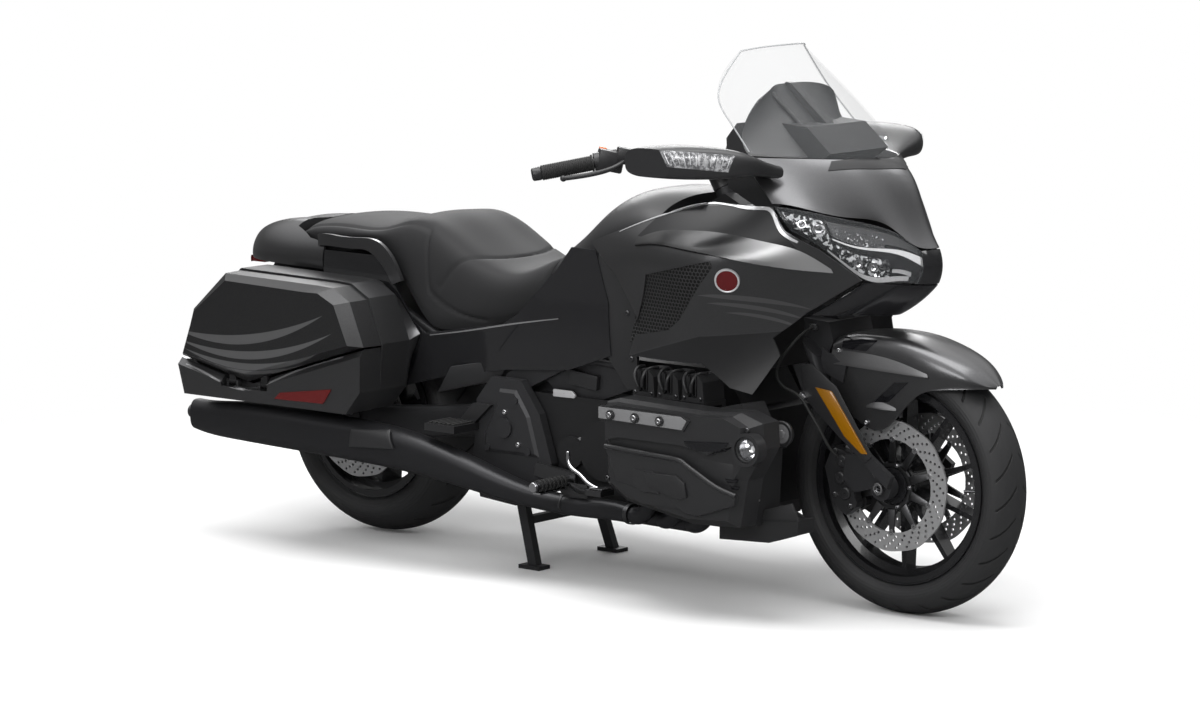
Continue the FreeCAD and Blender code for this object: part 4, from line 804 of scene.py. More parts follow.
def seat_cover():
    """Sculpted seat: a spline through the stations, each a crowned section of nine points; grooves shaped as
    a bell curve at the seams, puffed panels between, and both ends drawn in as the root of the way to
    them."""
    stations = np.array(SEAT_STATIONS, float)
    n, m = SEAT_GRID
    x = np.linspace(stations[0, 0], stations[-1, 0], n)
    top, wide, low = spline(x, stations[:, 0], stations[:, 1:]).T
    half_y = [wide - 12, wide, wide - 14, 0.5 * wide]
    half_z = [low, low + 0.42 * (top - low), top - 20, top - 5]
    s = np.linspace(0, 1, m)
    y = spline(s, GIRTH_SHARES, np.stack([-k for k in half_y] + [0 * wide] + half_y[::-1])).T
    z = spline(s, GIRTH_SHARES, np.stack(half_z + [top - 1] + half_z[::-1])).T
    grid = np.stack([np.broadcast_to(x[:, None], y.shape), y, z], -1)
    near = seam_distance(grid[:, :, 0], np.abs(s - 0.5))
    groove = np.exp(-(near / SEAM_WIDE) ** 2) * SEAM_DEEP - (1 - np.exp(-near / PUFF_WIDE)) * PUFF_HIGH
    rim = np.clip(np.minimum(s, 1 - s) / SEAT_RIM, 0, 1)
    out = normals_of(grid)
    out *= np.sign((out[:, m // 2, 2])[:, None, None])
    grid = grid - out * (groove * rim)[:, :, None]
    ends = np.sqrt(np.clip(np.minimum(x - x[0], x[-1] - x) / SEAT_END, 0, 1))[:, None]
    middle = ((top + low) / 2)[:, None]
    grid[:, :, 1] *= 0.90 + 0.10 * ends
    grid[:, :, 2] = middle + (grid[:, :, 2] - middle) * (0.86 + 0.14 * ends)
    faces = grid_faces(n, m, True)
    faces += [list(range(m)), [(n - 1) * m + k for k in range(m)][::-1]]
    seat = piece("seat_cover", [(grid.reshape(-1, 3), faces)], "vinyl", split=60.0,
                 node="seat")


# Wheels and brakes

# Axle, the disc's y, its outer and inner radius, the hub's radius, the body, and whether there are two.
DISCS = {"front": ((FRONT_X, FRONT_Z), -72, 159, 114, 46, "front_wheel", True),
         "rear": ((REAR_X, REAR_Z), -118, 157, 112, 62, "rear_wheel", False)}
DISC_THICK, CARRIER_THICK, RIVET_THICK = 5.0, 5.2, 9.2
HOLE_R, HOLE_RINGS, HOLES_ROUND, HOLE_MARGIN = 3.6, 4, 30, 9
WAVES, WAVE_HIGH = 10, 1.2
ARMS, HUB_BOLTS = 10, 5


def drilled_disc(axle, y, outer, inner):
    """Brake disc with rings of small holes, each ring a bit further round, and a rim that rises as a sine."""
    cx, cz = axle
    holes = [circle(cx, cz, inner, 72)]
    for k, r in enumerate(np.linspace(inner + HOLE_MARGIN, outer - HOLE_MARGIN, HOLE_RINGS)):
        for i in range(HOLES_ROUND):
            a = 2 * pi * (i + 0.5 * (k % 2) + 0.16 * k) / HOLES_ROUND
            holes.append(circle(cx + r * cos(a), cz + r * sin(a), HOLE_R, 8))
    rim = []
    for a in np.linspace(0, 2 * pi, 160, endpoint=False):
        r = outer + WAVE_HIGH * sin(WAVES * a)
        rim.append((cx + r * cos(a), cz + r * sin(a)))
    return plate(rim, y - DISC_THICK / 2, y + DISC_THICK / 2, holes)


def brake_discs():
    """Drilled discs, each on a ring with ten arms, held by ten rivets and five hub bolts."""
    for name, key, node in (("front_rotors", "front", "front_discs"), ("rear_rotor", "rear", "rear_disc")):
        axle, y, outer, inner, hub, body, twin = DISCS[key]
        disc = [drilled_disc(axle, y, outer, inner)]
        piece(name, both(disc) if twin else disc, "disc", body, split=30, node=node)
    for key, (axle, y, outer, inner, hub, body, twin) in DISCS.items():
        cx, cz = axle
        t, half = CARRIER_THICK / 2, RIVET_THICK / 2
        ring = lathe([(-t, hub), (t, hub), (t, hub + 12), (-t, hub + 12)], (cx, y, cz), Y, 60)
        arm = plate([(cx - 11, cz + hub + 8), (cx + 11, cz + hub + 8), (cx + 6, cz + inner + 1),
                     (cx - 6, cz + inner + 1)], y - t, y + t)
        rivet = lathe([(-half, 2.5), (-half, 7), (half, 7), (half, 2.5)], (cx, y, cz + inner - 1), Y, 18)
        bolt = rod((cx, y - 7, cz + hub + 6), (cx, y + 7, cz + hub + 6), 4.5, 6)
        carrier = [ring] + spun(arm, axle, ARMS)
        rivets = spun(rivet, axle, ARMS) + spun(bolt, axle, HUB_BOLTS, 0.3)
        piece(key + "_disc_carrier", both(carrier) if twin else carrier, "dark_steel", body, bevel=0.6)
        piece(key + "_disc_rivets", both(rivets) if twin else rivets, "bright_steel", body)


# Axle, half width and radius of each rim's edge.
RIMS = {"front": ((FRONT_X, FRONT_Z), 50, 241), "rear": ((REAR_X, REAR_Z), 86, 216)}


def wheel_trim():
    """Thin bead round each rim's edge, valve stems, the final drive's cap and the axle nuts."""
    for key, ((cx, cz), half, r) in RIMS.items():
        beads = []
        for s in (-1, 1):
            out = s * (half + 1.6)
            bead = [(s * half, r - 3), (out, r - 2), (out, r + 1), (s * half, r + 2)]
            beads.append(lathe(bead, (cx, 0, cz), Y, 96))
        piece(key + "_rim_edge", beads, "wheel", key + "_wheel")
        stem = rod((cx + (r - 34), -6, cz), (cx + (r - 66), -26, cz), 4, 10)
        piece(key + "_valve", [stem], "dark_steel", key + "_wheel")
    cap = [rod((REAR_X, -205, REAR_Z), (REAR_X, -212, REAR_Z), 34, 40),
           rod((REAR_X, -211, REAR_Z), (REAR_X, -218, REAR_Z), 20, 6)]
    bolt = rod((REAR_X, -204, REAR_Z + 62), (REAR_X, -211, REAR_Z + 62), 7, 6)
    piece("final_drive_cap", cap + spun(bolt, (REAR_X, REAR_Z), 6), "dark_steel", bevel=0.8)
    nut = lathe([(0, 8), (0, 15), (7, 15), (7, 8)], (FRONT_X, -135, FRONT_Z), Y, 24)
    piece("axle_nuts", both([nut]), "bright_steel", "steering", bevel=0.8)


PISTONS = ((796, 372), (790, 330), (806, 294))
CALIPER_BOLTS = ((776, 396), (838, 386), (822, 264), (776, 288))
CALIPER_Y = -106


def caliper_details():
    """Piston caps and bridge bolts on the front calipers."""
    cap = [(0, 2), (0, 15), (-5, 15), (-8, 12), (-8, 2)]
    caps = [lathe(cap, (x, CALIPER_Y, z), Y, 26) for x, z in PISTONS]
    bolts = [rod((x, CALIPER_Y + 1, z), (x, CALIPER_Y - 7, z), 6, 6) for x, z in CALIPER_BOLTS]
    piece("caliper_caps", both(caps), "satin_black", "steering", bevel=0.6)
    piece("caliper_bolts", both(bolts), "bright_steel", "steering")


# Lamps

# The lamp's face from its upper to its lower edge, each row from the nose outwards.
LAMP_NV, LAMP_NU = 25, 61
LAMP_ROWS = [
    [(970, -34, 884), (922, -70, 928), (842, -146, 960), (768, -220, 982), (702, -262, 993)],
    [(976, -35, 846), (934, -78, 872), (866, -146, 892), (796, -218, 938), (724, -262, 966)],
    [(964, -37, 806), (930, -78, 811), (872, -130, 818), (806, -207, 893), (741, -250, 937)]]
LAMP = fine_grid(LAMP_ROWS, LAMP_NV, LAMP_NU)
LAMP_SIDE = np.sign(normals_of(LAMP)[..., 0].mean())
LAMP_OUT = normals_of(LAMP) * LAMP_SIDE
LENS_THICK, BOWL_DEPTH, BOWL_EDGE = 2.2, 23.0, 3.0
# Mirror cups: place along and across the face, and radius.
CUPS = ((0.36, 0.76, 10), (0.47, 0.76, 10), (0.74, 0.42, 11), (0.86, 0.46, 8))
CUP_DEPTH = 11.5


def lamp_at(u, v, depth=0.0):
    """Point of the lamp's face, some way behind it: u from the nose outwards, v from the upper edge down,
    read from the grid between its four nearest points."""
    i, j = np.clip(v, 0, 1) * (LAMP_NV - 1), np.clip(u, 0, 1) * (LAMP_NU - 1)
    a = np.minimum(np.floor(i).astype(int), LAMP_NV - 2)
    b = np.minimum(np.floor(j).astype(int), LAMP_NU - 2)
    s, t = np.asarray(i - a)[..., None], np.asarray(j - b)[..., None]

    def between(g):
        upper = g[a, b] * (1 - t) + g[a, b + 1] * t
        lower = g[a + 1, b] * (1 - t) + g[a + 1, b + 1] * t
        return upper * (1 - s) + lower * s

    return between(LAMP) - between(LAMP_OUT) * depth


def lamp_ribbon(path, first, last, depth, n=40, fall=1.0, t=3.0):
    """Ribbon inside the lamp along points (u, v) at a depth; its width in v goes from first to last, as a
    power of the way left."""
    p = curve([(u, v, 0) for u, v in path], n)
    wide = last + (first - last) * np.linspace(1, 0, n) ** fall
    return thick(np.stack([lamp_at(p[:, 0], p[:, 1] + k * wide / 2, depth) for k in (-1, 0, 1)], 1), t)


def facets(rng, u_range, v_range, nu, nv, deep):
    """Mirror field of small flat tiles, each at its own tilt, between two edges of the lamp."""
    us, vs = np.linspace(*u_range, nu + 1), np.linspace(*v_range, nv + 1)
    out = []
    for i in range(nu):
        for j in range(nv):
            tilt = deep + rng.uniform(-3, 3, 4)
            corners = ((us[i], vs[j]), (us[i + 1], vs[j]), (us[i + 1], vs[j + 1]), (us[i], vs[j + 1]))
            points = [lamp_at(u, v, d) for (u, v), d in zip(corners, tilt)]
            points.append(lamp_at((us[i] + us[i + 1]) / 2, (vs[j] + vs[j + 1]) / 2, deep + 6))
            faces = [[0, 1, 2], [0, 2, 3], [0, 4, 1], [1, 4, 2], [2, 4, 3], [3, 4, 0]]
            out.append((np.vstack(points), faces))
    return out


def lamp_case():
    """Clear lens, and a black bowl behind it: a floor parallel to the lens and a wall along each edge."""
    lens = thick(LAMP, LENS_THICK * LAMP_SIDE)
    piece("headlamp_lens", both([lens]), "lamp_clear", split=50, node="headlamps")
    us, vs = np.linspace(0.01, 0.985, 50), np.linspace(0.02, 0.98, 14)
    depths = (BOWL_EDGE, 12.0, BOWL_DEPTH)
    shapes = [thick(lamp_at(*np.meshgrid(us, vs), BOWL_DEPTH), 2.0)]
    for v in (0.012, 0.988):
        shapes.append(thick(np.stack([lamp_at(us, np.full(len(us), v), d) for d in depths], 1), 1.2))
    for u in (0.012, 0.985):
        shapes.append(thick(np.stack([lamp_at(np.full(len(vs), u), vs, d) for d in depths], 1), 1.2))
    piece("headlamp_bowl", both(shapes), "glass_dark", split=40)


def lamp_tiles():
    """Two bright fields of tiles, at the lower inner and the outer part, and a dim one above; their pale
    patches are painted glints.
    """
    rng = np.random.default_rng(5)
    jewels = facets(rng, (0.24, 0.62), (0.60, 0.92), 15, 5, 12.0)
    jewels += facets(rng, (0.66, 0.96), (0.12, 0.86), 12, 7, 11.0)
    piece("lamp_jewels", both(jewels), "jewel", split=4)
    sparks = facets(rng, (0.26, 0.60), (0.18, 0.42), 14, 4, 13.0)
    piece("lamp_sparks", both(sparks), "jewel_dim", split=4)


def lamp_cups():
    """Four small mirror cups that face out of the lens, each with a dark bead."""
    cups, beads = [], []
    for u, v, r in CUPS:
        c = lamp_at(u, v, CUP_DEPTH)
        way = lamp_at(u, v) - c
        cup = [(0.5, 2), (1, r * 0.5), (3, r * 0.82), (6, r), (6, r + 1.5), (2, r + 1.5), (0, r * 0.6),
               (-1, 2)]
        cups.append(lathe(cup, c, way, 28))
        beads.append(lathe([(0, 0.5), (0, 3), (1.6, 2.4), (2.4, 1.4), (2.8, 0.4)], c, way, 16, False))
    piece("lamp_mirrors", both(cups), "chrome", split=40)
    piece("lamp_beads", both(beads), "glass_dark")


def lamp_bands():
    """Pale streak along the middle, silver light guides at the lower edge, a dark shelf and a smoky upper
    guide."""
    shelf = lamp_ribbon([(0.02, 0.62), (0.12, 0.66), (0.2, 0.70)], 0.30, 0.26, 12.0, t=2.0)
    upper = lamp_ribbon([(0.02, 0.08), (0.3, 0.20), (0.62, 0.26)], 0.16, 0.34, 12.0, t=2.0)
    streak = lamp_ribbon([(0.005, 0.33), (0.13, 0.37), (0.33, 0.44), (0.48, 0.47), (0.64, 0.51)], 0.28, 0.035,
                         5.0, fall=4.0)
    edge = lamp_ribbon([(0.72, 0.93), (0.50, 0.945), (0.36, 0.955), (0.20, 0.93), (0.09, 0.90)], 0.05, 0.10,
                       4.0, 60)
    hook = lamp_ribbon([(0.075, 0.80), (0.13, 0.78), (0.22, 0.79)], 0.11, 0.06, 4.5)
    piece("lamp_streaks", both([streak]), "mirror_pale", split=50)
    piece("lamp_guides", both([edge, hook]), "silver", split=50)
    piece("lamp_shelves", both([shelf]), "glass_dark", split=50)
    piece("lamp_upper_guide", both([upper]), "smoke", split=50)


AUX = (745, -385, 432)


def aux_lamps():
    """Round lower lamps in the head covers: ring, mirror bowl, bead and lens, all turned about y."""
    out = (0, -1, 0)
    ring = lathe([(30, 24), (36, 26), (37, 30.5), (0, 30.8), (0, 24)], AUX, out, 40)
    bowl = lathe([(2, 1), (4, 10), (12, 18), (30, 24), (30, 25), (10, 20), (0, 11), (0, 1)], AUX, out, 32)
    bead = lathe([(3, 0.5), (3, 7), (10, 6), (14, 3), (15, 0.5)], AUX, out, 18, False)
    glass = [(30, 24), (33, 16), (34.5, 8), (35, 0.4), (32.5, 0.4), (32, 8), (30.5, 16), (28.5, 24)]
    piece("aux_lamp_rings", both([ring]), "satin_black", bevel=0.5)
    piece("aux_lamp_bowls", both([bowl]), "chrome")
    piece("aux_lamp_beads", both([bead]), "white_lens")
    piece("aux_lamp_lenses", both([lathe(glass, AUX, out, 32)]), "lamp_clear")


# Nose, screen and cockpit

COWL_Y = -250
COWL_LINE = [(250, 902), (330, 932), (430, 966), (521, 988), (610, 986), (690, 986)]
LAMP_LINE = [(600, 987), (660, 986), (692, 985), (735, 936), (770, 912)]
NOSE_BAND = [(774, -132, 1094), (858, 0, 1094), (884, 0, 1066), (776, -148, 1073)]
SCREEN_RIB = [(572, -96, 1246), (574, -96, 1243), (610, -82, 1202), (653, -80, 1160), (676, -79, 1138)]
BADGE = (622, -700, 817)


def nose_trim():
    """Bright lines along the top of each side cowl and over each lamp, the dark band under the screen and the
    garnish's rib."""
    line = laid_strip("side_cowls", beside(COWL_LINE, COWL_Y), 3.2, RIGHT, 1.6, 60, taper=0.6)
    front = laid_strip("side_cowls", beside(LAMP_LINE, COWL_Y), 8.0, RIGHT, 1.4, 90, taper=0.35)
    piece("cowl_accent", both([thick(line, 1.5), thick(front, 1.5)]), "silver", split=50)
    band = laid_grid("front_cowl", NOSE_BAND, 30, 8, (-0.9, 0, -0.43), 0.9)
    piece("nose_band", both([thick(band, 1.0)]), "matte_black", split=50)
    piece("screen_rib", [tube(SCREEN_RIB, 7.0, 14, 50)], "satin_black")


def badges():
    """Plain round red disc with a silver ring on each side cowl, square to its surface."""
    hit, out = cast("side_cowls", BADGE, RIGHT)
    if out[1] > 0:
        out = -out
    c = hit + out * 0.2
    disc = lathe([(0, 0.5), (0, 27), (3.6, 27), (4.4, 0.5)], c, out, 40, False)
    ring = lathe([(0, 26), (0, 31), (4.6, 30), (5.2, 28), (4.2, 26)], c, out, 48)
    piece("badge_face", both([disc]), "badge_red")
    piece("badge_ring", both([ring]), "silver")


# The screen from its lower edge up, each row from the middle outwards, as in the part's source.
SCREEN = full([
    [(852, 0, 1101.4), (830, -70, 1101), (745, -150, 1102), (610, -242, 1114)],
    [(760, 0, 1188), (738, -72, 1190), (655, -150, 1196), (545, -236, 1184)],
    [(655, 0, 1272), (640, -70, 1270), (580, -142, 1264), (498, -220, 1246)],
    [(545, 0, 1357), (538, -50, 1356), (520, -95, 1352), (495, -128, 1345)]])


def screen_edge_shade():
    """Thin grey bead along the screen's sides and top, 2 mm in from the border: painted shade of the clear
    edge seen through its thickness.
    """
    g = fine_grid(SCREEN, 60, 60)
    rim = np.vstack([g[:, 0], g[-1, 1:], g[::-1, -1][1:]])
    inward = g[30, 30] - rim
    rim = rim + inward / np.linalg.norm(inward, axis=1, keepdims=True) * 2
    piece("screen_bead", [tube(rim, 2.0, 8)], "screen_edge_shade")


SIGNAL = [(507, -451, 1127), (672, -375, 1119), (662, -388, 1081), (532, -452, 1090)]
MIRROR = [(500, -300, 1074), (500, -440, 1078), (500, -440, 1116), (500, -300, 1112)]
SIGNAL_GRID, SIGNAL_RIBS = (24, 10), 12


def mirror_parts():
    """Ribbed signal behind a clear lens on the front of each mirror, and the mirror glass behind."""
    nu, nv = SIGNAL_GRID
    back = laid_grid("mirrors", SIGNAL, nu, nv, VIEW, 0.5)
    lens = laid_grid("mirrors", SIGNAL, nu, nv, VIEW, 3.2)
    # The signal's dark and pale patches are painted reflections.
    piece("signal_backs", both([thick(back, 1.0)]), "signal", split=50)
    ribs = []
    for k in range(SIGNAL_RIBS):
        row = back[1 + round(k * (nu - 3) / (SIGNAL_RIBS - 1)), 1:-1:3]
        ribs.append(tube(row + (0.9, -1.1, 0.2), 1.1, 6))
    piece("signal_ribs", both(ribs), "silver")
    piece("signal_lenses", both([thick(lens, 1.2)]), "lamp_clear", split=50)
    glass = laid_grid("mirrors", MIRROR, 16, 10, (1, 0, 0), 1.0)
    piece("mirror_glass", both([thick(glass, 1.0)]), "chrome", split=50)


DIAL_X, DIAL_Y, DIAL_Z, DIAL_R = 446, 72, 1098, 35


def instruments():
    """Two round dials with a needle each, and a display between them, facing the rider."""
    out = np.array([-1, 0, 0.18])
    out /= np.linalg.norm(out)
    needles, rings, faces = [], [], []
    for y in (-DIAL_Y, DIAL_Y):
        c = np.array((DIAL_X, y, DIAL_Z))
        rings.append(lathe([(0, DIAL_R - 1), (0, DIAL_R + 5), (8, DIAL_R + 5), (8, DIAL_R + 1)], c, out, 44))
        faces.append(lathe([(0, 0.5), (0, DIAL_R), (3, DIAL_R), (3, 0.5)], c, out, 40, False))
        needles.append(tube([c + out * 5, c + out * 5 + (0, 14, 22)], 1.0, 6))
    display = block((444, 0, 1108), (8, 62, 50), (0, -10, 0))
    piece("dial_rings", rings, "bright_steel", bevel=0.6)
    piece("dial_faces", faces, "glass_dark")
    piece("dial_needles", needles, "white_lens")
    piece("display", [display], "glass_dark", bevel=2.0)


GRIP_START, GRIP_END = np.array((228, -362, 1074.0)), np.array((140, -450, 1051.0))
GRIP_R, GRIP_RIBS = 17.6, 26
SWITCH = np.array((262, -328, 1083.0))
SWITCH_TURN = (0, 12, 46)
LEVER_BALL, BALL_R = (196, -436, 1040.0), 8


def bar_parts():
    """Ribbed grips with collars and end weights, switch boxes with buttons, the reservoirs' screws and the
    levers' balls."""
    way = GRIP_END - GRIP_START
    length = np.linalg.norm(way)
    profile = [(0, 12), (0, 21), (4, 21), (5, GRIP_R)]
    for k in range(GRIP_RIBS):
        s = 7 + k * (length - 12) / GRIP_RIBS
        profile += [(s, GRIP_R), (s + 1, GRIP_R + 1.2), (s + 2.6, GRIP_R + 1.2), (s + 3.6, GRIP_R)]
    profile += [(length - 1, 19), (length + 1, 17), (length + 1, 12)]
    weight = [(length + 1, 3), (length + 1, 15), (length + 5, 17), (length + 22, 16), (length + 25, 12),
              (length + 25, 3)]
    boxes = [block(SWITCH + (-6, -4, -4), (62, 52, 50), SWITCH_TURN),
             block(SWITCH + (26, 18, 10), (46, 40, 34), SWITCH_TURN),
             block((322, -222, 1098), (54, 40, 16), (0, 0, 20))]
    buttons = [block(SWITCH + (dx, -2, dz), (8, 16, 9), SWITCH_TURN) for dx, dz in ((-36, 2), (-34, -12))]
    kill = block(SWITCH + (-30, -2, 22), (18, 16, 12), SWITCH_TURN)
    screws = [rod((x, y, 1106), (x, y, 1109), 3.5, 12) for x, y in ((312, -226), (334, -218))]
    ball = [(-BALL_R * cos(t), max(BALL_R * sin(t), 0.3)) for t in np.linspace(0, pi, 12)]
    piece("grips", both([lathe(profile, GRIP_START, way, 26)]), "grip", "bars", split=30)
    piece("bar_ends", both([lathe(weight, GRIP_START, way, 26)]), "satin_black", "bars", bevel=0.6)
    piece("switch_boxes", both(boxes), "satin_black", "bars", bevel=5.0)
    piece("switch_buttons", both(buttons), "grip", "bars", bevel=1.5)
    piece("kill_switch", [kill], "orange", "bars", bevel=2.5)
    piece("reservoir_screws", both(screws), "bright_steel", "bars")
    piece("lever_balls", both([lathe(ball, LEVER_BALL, (1, 0, 0), 16, False)]), "satin_black", "bars")


# Engine, pipes and pegs

# Outer face of the head covers.
COVER_Y = -411.3
COVER_SCREWS = ((316, 318), (316, 446), (676, 292), (742, 478), (600, 262))
SHROUD_SCREWS = ((592, 252), (604, 470), (660, 500), (690, 250))
DECK = [(302, 466), (302, 494), (556, 494), (574, 485), (560, 462)]
GUARD_SKIN = [(592, 396), (700, 392), (700, 338), (592, 338)]
GUARD = [(316, 396), (548, 386), (582, 370), (664, 332), (716, 318), (712, 296), (640, 270), (600, 258),
         (560, 262), (500, 300), (420, 306), (352, 318)]
GUARD_PAD = [(442, 348), (539, 350), (566, 336), (574, 300), (548, 292), (456, 314)]
GUARD_RIDGE = [(318, 398), (400, 394.5), (480, 391), (536, 388.5), (552, 386), (568, 378), (600, 362),
               (664, 333)]
RECESS_SHADE = [(562, -430, 436), (698, -430, 446), (678, -430, 419), (578, -430, 415)]
SLOT_SHADES = ([(676, 356), (714, 356), (708, 348), (684, 346)], [(690, 341), (716, 340), (712, 332), (696, 333)])


def screw(x, y, z, r=6.0, h=5.0):
    """Screw head facing right, with a round recess in its middle."""
    head = [(0, r), (-h + 1, r), (-h, r - 1), (-h, r * 0.5), (-h * 0.4, r * 0.45), (-h * 0.4, 0.4), (0, 0.4)]
    return lathe(head, (x, y, z), Y, 18)


def engine_bolts():
    """Bright bolts on the deck's lugs and dark ones round the covers."""
    bright = [screw(x, COVER_Y - 26, 477, 7.5) for x in (342, 418, 494)]
    dark = [screw(x, COVER_Y, z) for x, z in COVER_SCREWS]
    dark += [screw(x, -305, z, h=4) for x, z in SHROUD_SCREWS]
    piece("cover_bolts_bright", both(bright), "bright_steel", split=30)
    piece("cover_bolts", both(dark), "dark_steel", split=30)


def cover_plates():
    """Grey deck along the top of each head cover, a guard with a ridge below it, and a recess and two slots
    as dark sheets of painted shade.
    """
    deck = plate(DECK, COVER_Y - 17, COVER_Y - 21.5)
    piece("cover_deck", both([deck]), "grey_satin", bevel=2.0)
    guard = [plate(GUARD_SKIN, COVER_Y + 3, COVER_Y - 1.4), plate(GUARD, COVER_Y - 1, COVER_Y - 14),
             plate(GUARD_PAD, COVER_Y - 13, COVER_Y - 21)]
    piece("cover_guard", both(guard), "satin_black", bevel=3.0)
    line = [(x, COVER_Y - 14, z) for x, z in GUARD_RIDGE] + [(716, COVER_Y - 12, 319)]
    piece("cover_ridge", both([tube(line, 6.0, 10, 60)]), "satin_black")
    # The recess and the slots are dark sheets of painted shade.
    recess = thick(laid_grid("head_covers", RECESS_SHADE, 24, 8, RIGHT, 0.6), 0.8)
    slots = [plate(slot, COVER_Y + 5, COVER_Y - 2.2) for slot in SLOT_SHADES]
    piece("cover_recess_shades", both([recess] + slots), "glass_dark", bevel=0.6)


CAP = (727, -248, 449)
BELLY_LIP = [(640, 262), (700, 262), (748, 244), (742, 214), (664, 186), (640, 196)]
SHROUD_WEB = [(696, 232), (704, 268), (786, 292), (808, 250)]
RADIATOR_SCREWS = ((668, 500), (700, 330), (706, 296), (690, 470))


def engine_sides():
    """Round cap with a hood ahead of each head cover, belly lips, shroud webs with screws and the box between
    the heads."""
    x, y, z = CAP
    hood = lathe([(0, 20), (0, 29), (-10, 32), (-14, 30), (-14, 26), (-12, 20)], CAP, Y, 36)
    cap = lathe([(0, 0.5), (0, 24), (-12, 24), (-12, 10), (-15, 9), (-15, 0.5)], (x, y - 1, z), Y, 30, False)
    arm = block((x - 15, y + 2, z - 9), (34, 10, 52))
    piece("round_cap", both([hood, arm]), "satin_black", bevel=0.8)
    piece("round_cap_face", both([cap]), "grey_satin", bevel=0.8)
    piece("belly_lips", both([plate(BELLY_LIP, -192, -198)]), "satin_black", bevel=1.5)
    piece("shroud_web", both([plate(SHROUD_WEB, -290, -298)]), "matte_black", bevel=1.0)
    heads = [screw(x, -322, z) for x, z in RADIATOR_SCREWS]
    piece("shroud_screws", both(heads), "bright_steel", split=30)
    piece("head_box", [block((528, 0, 634), (50, 168, 132))], "matte_black", bevel=6.0)


INTAKES, INTAKE_X, INTAKE_STEP = 3, 300, 76
# Two hooked pipes on each intake: x from its start, y and z.
INTAKE_PIPES = ([(52, -262, 574), (44, -292, 572), (40, -304, 560), (36, -306, 530)],
                [(8, -262, 574), (10, -292, 572), (12, -304, 560), (24, -306, 528)])


def intake_details():
    """Ribs, hooked pipes and bolts on each of the three intake covers a side."""
    starts = [INTAKE_X + INTAKE_STEP * k for k in range(INTAKES)]
    ribs = [block((x + d, -297, 545), (3, 10, 46)) for x in starts for d in (26, 36, 46)]
    pipes = [tube([(x + d, y, z) for d, y, z in pipe], 4.5, 10, 30) for x in starts for pipe in INTAKE_PIPES]
    bolts = [screw(x + d, -300, 516, 4, 4) for x in starts for d in (11, 61)]
    piece("intake_ribs", both(ribs + pipes), "satin_black", bevel=0.6)
    piece("intake_bolts", both(bolts), "dark_steel", split=30)


PAD = [(-408, -420, 308), (-558, -420, 300), (-554, -420, 342), (-434, -420, 348)]
CLAMPS = ((70, -278, 207, 27), (268, -262, 202, 25))


def muffler_parts():
    """End caps with outlets, the guard pad and the clamps of the mufflers."""
    cap = rod((-1144, -348, 322), (-1150, -348, 322), 26, 30)
    tip = lathe([(0, 15), (0, 18), (26, 18), (26, 15)], (-1142, -348, 326), (-1, 0, 0.03), 30)
    pad = thick(laid_grid("mufflers", PAD, 16, 8, RIGHT, 4.0), 5.0)
    clamps = [lathe([(-7, r - 2), (-7, r + 1), (7, r + 1), (7, r - 2)], (x, y, z), (1, -0.15, 0.05), 30)
              for x, y, z, r in CLAMPS]
    piece("muffler_caps", both([cap]), "exhaust")
    piece("muffler_tips", both([tip]), "dark_steel", bevel=0.6)
    piece("muffler_pads", both([pad]), "satin_black", bevel=1.0)
    piece("exhaust_clamps", both(clamps), "dark_steel")


TAIL_X, PLATE_X = REAR_X - 419, REAR_X - 430.5
PLATE = [(-92, 503), (92, 503), (92, 617), (-92, 617)]


def tail_parts():
    """Lenses of the tail lamps, bowed about their middle, and the blank number plate."""
    bow = ((-86, 0), (-60, 1), (-32, 0))
    rows = [[(TAIL_X - back - d, y, z) for y, d in bow] for back, z in ((2, 716), (3, 708), (2, 699))]
    piece("tail_lens", both([thick(fine_grid(rows, 8, 16), 2.0)]), "red_lens", split=50)
    v, f = plate(PLATE, 0, 1.5)
    turned = np.stack([PLATE_X - v[:, 1], v[:, 0], v[:, 2]], 1)
    piece("blank_plate", [(turned, f)], "white_lens", bevel=0.6)


PEG_X, PEG_Z = 80, 268
BRAKE_LEVER = [(121, -330, 352), (130, -334, 318), (166, -342, 302), (205, -356, 286), (244, -364, 276)]


def peg_parts():
    """Rubber rings and ribs on the pegs and the pedal, the pegs' steel ends and the brake lever."""
    ring = [(0, 10), (0, 15.5), (-8, 15.5), (-8, 10)]
    rings = [lathe(ring, (PEG_X, -300 - 15 * k, PEG_Z), Y, 20) for k in range(7)]
    pedal = [block((238 + 10 * k, -366, 277.5), (5, 44, 4)) for k in range(4)]
    rear = [block((-318 + 15 * k, -310, 382), (7, 82, 5)) for k in range(6)]
    steel = [rod((PEG_X, -410, PEG_Z), (PEG_X, -418, PEG_Z), 12, 24), block((82, -352, 251), (24, 104, 4))]
    lever = tube(BRAKE_LEVER, 5.5, 12, 40)
    piece("brake_lever", [lever, block((254, -366, 279), (40, 40, 3))], "chrome", bevel=0.8)
    piece("peg_rubbers", both(rings + rear) + pedal, "grip", bevel=0.8)
    piece("peg_ends", both(steel), "chrome")


# Fork and fender

FORK_GUARD = [(690, 598), (722, 604), (796, 556), (905, 398), (884, 380), (812, 430), (700, 520)]
REFLECTOR = [(738, 549), (786, 544), (893, 402), (875, 402), (826, 438)]
HOSE = [(692, -78, 686), (688, -104, 680), (674, -132, 658), (654, -146, 628), (630, -146, 592),
        (628, -146, 562), (650, -146, 540), (680, -146, 530), (704, -146, 514), (724, -144, 486),
        (750, -138, 446), (772, -128, 404), (786, -114, 382), (790, -98, 372)]
HOSE_R = 3.6


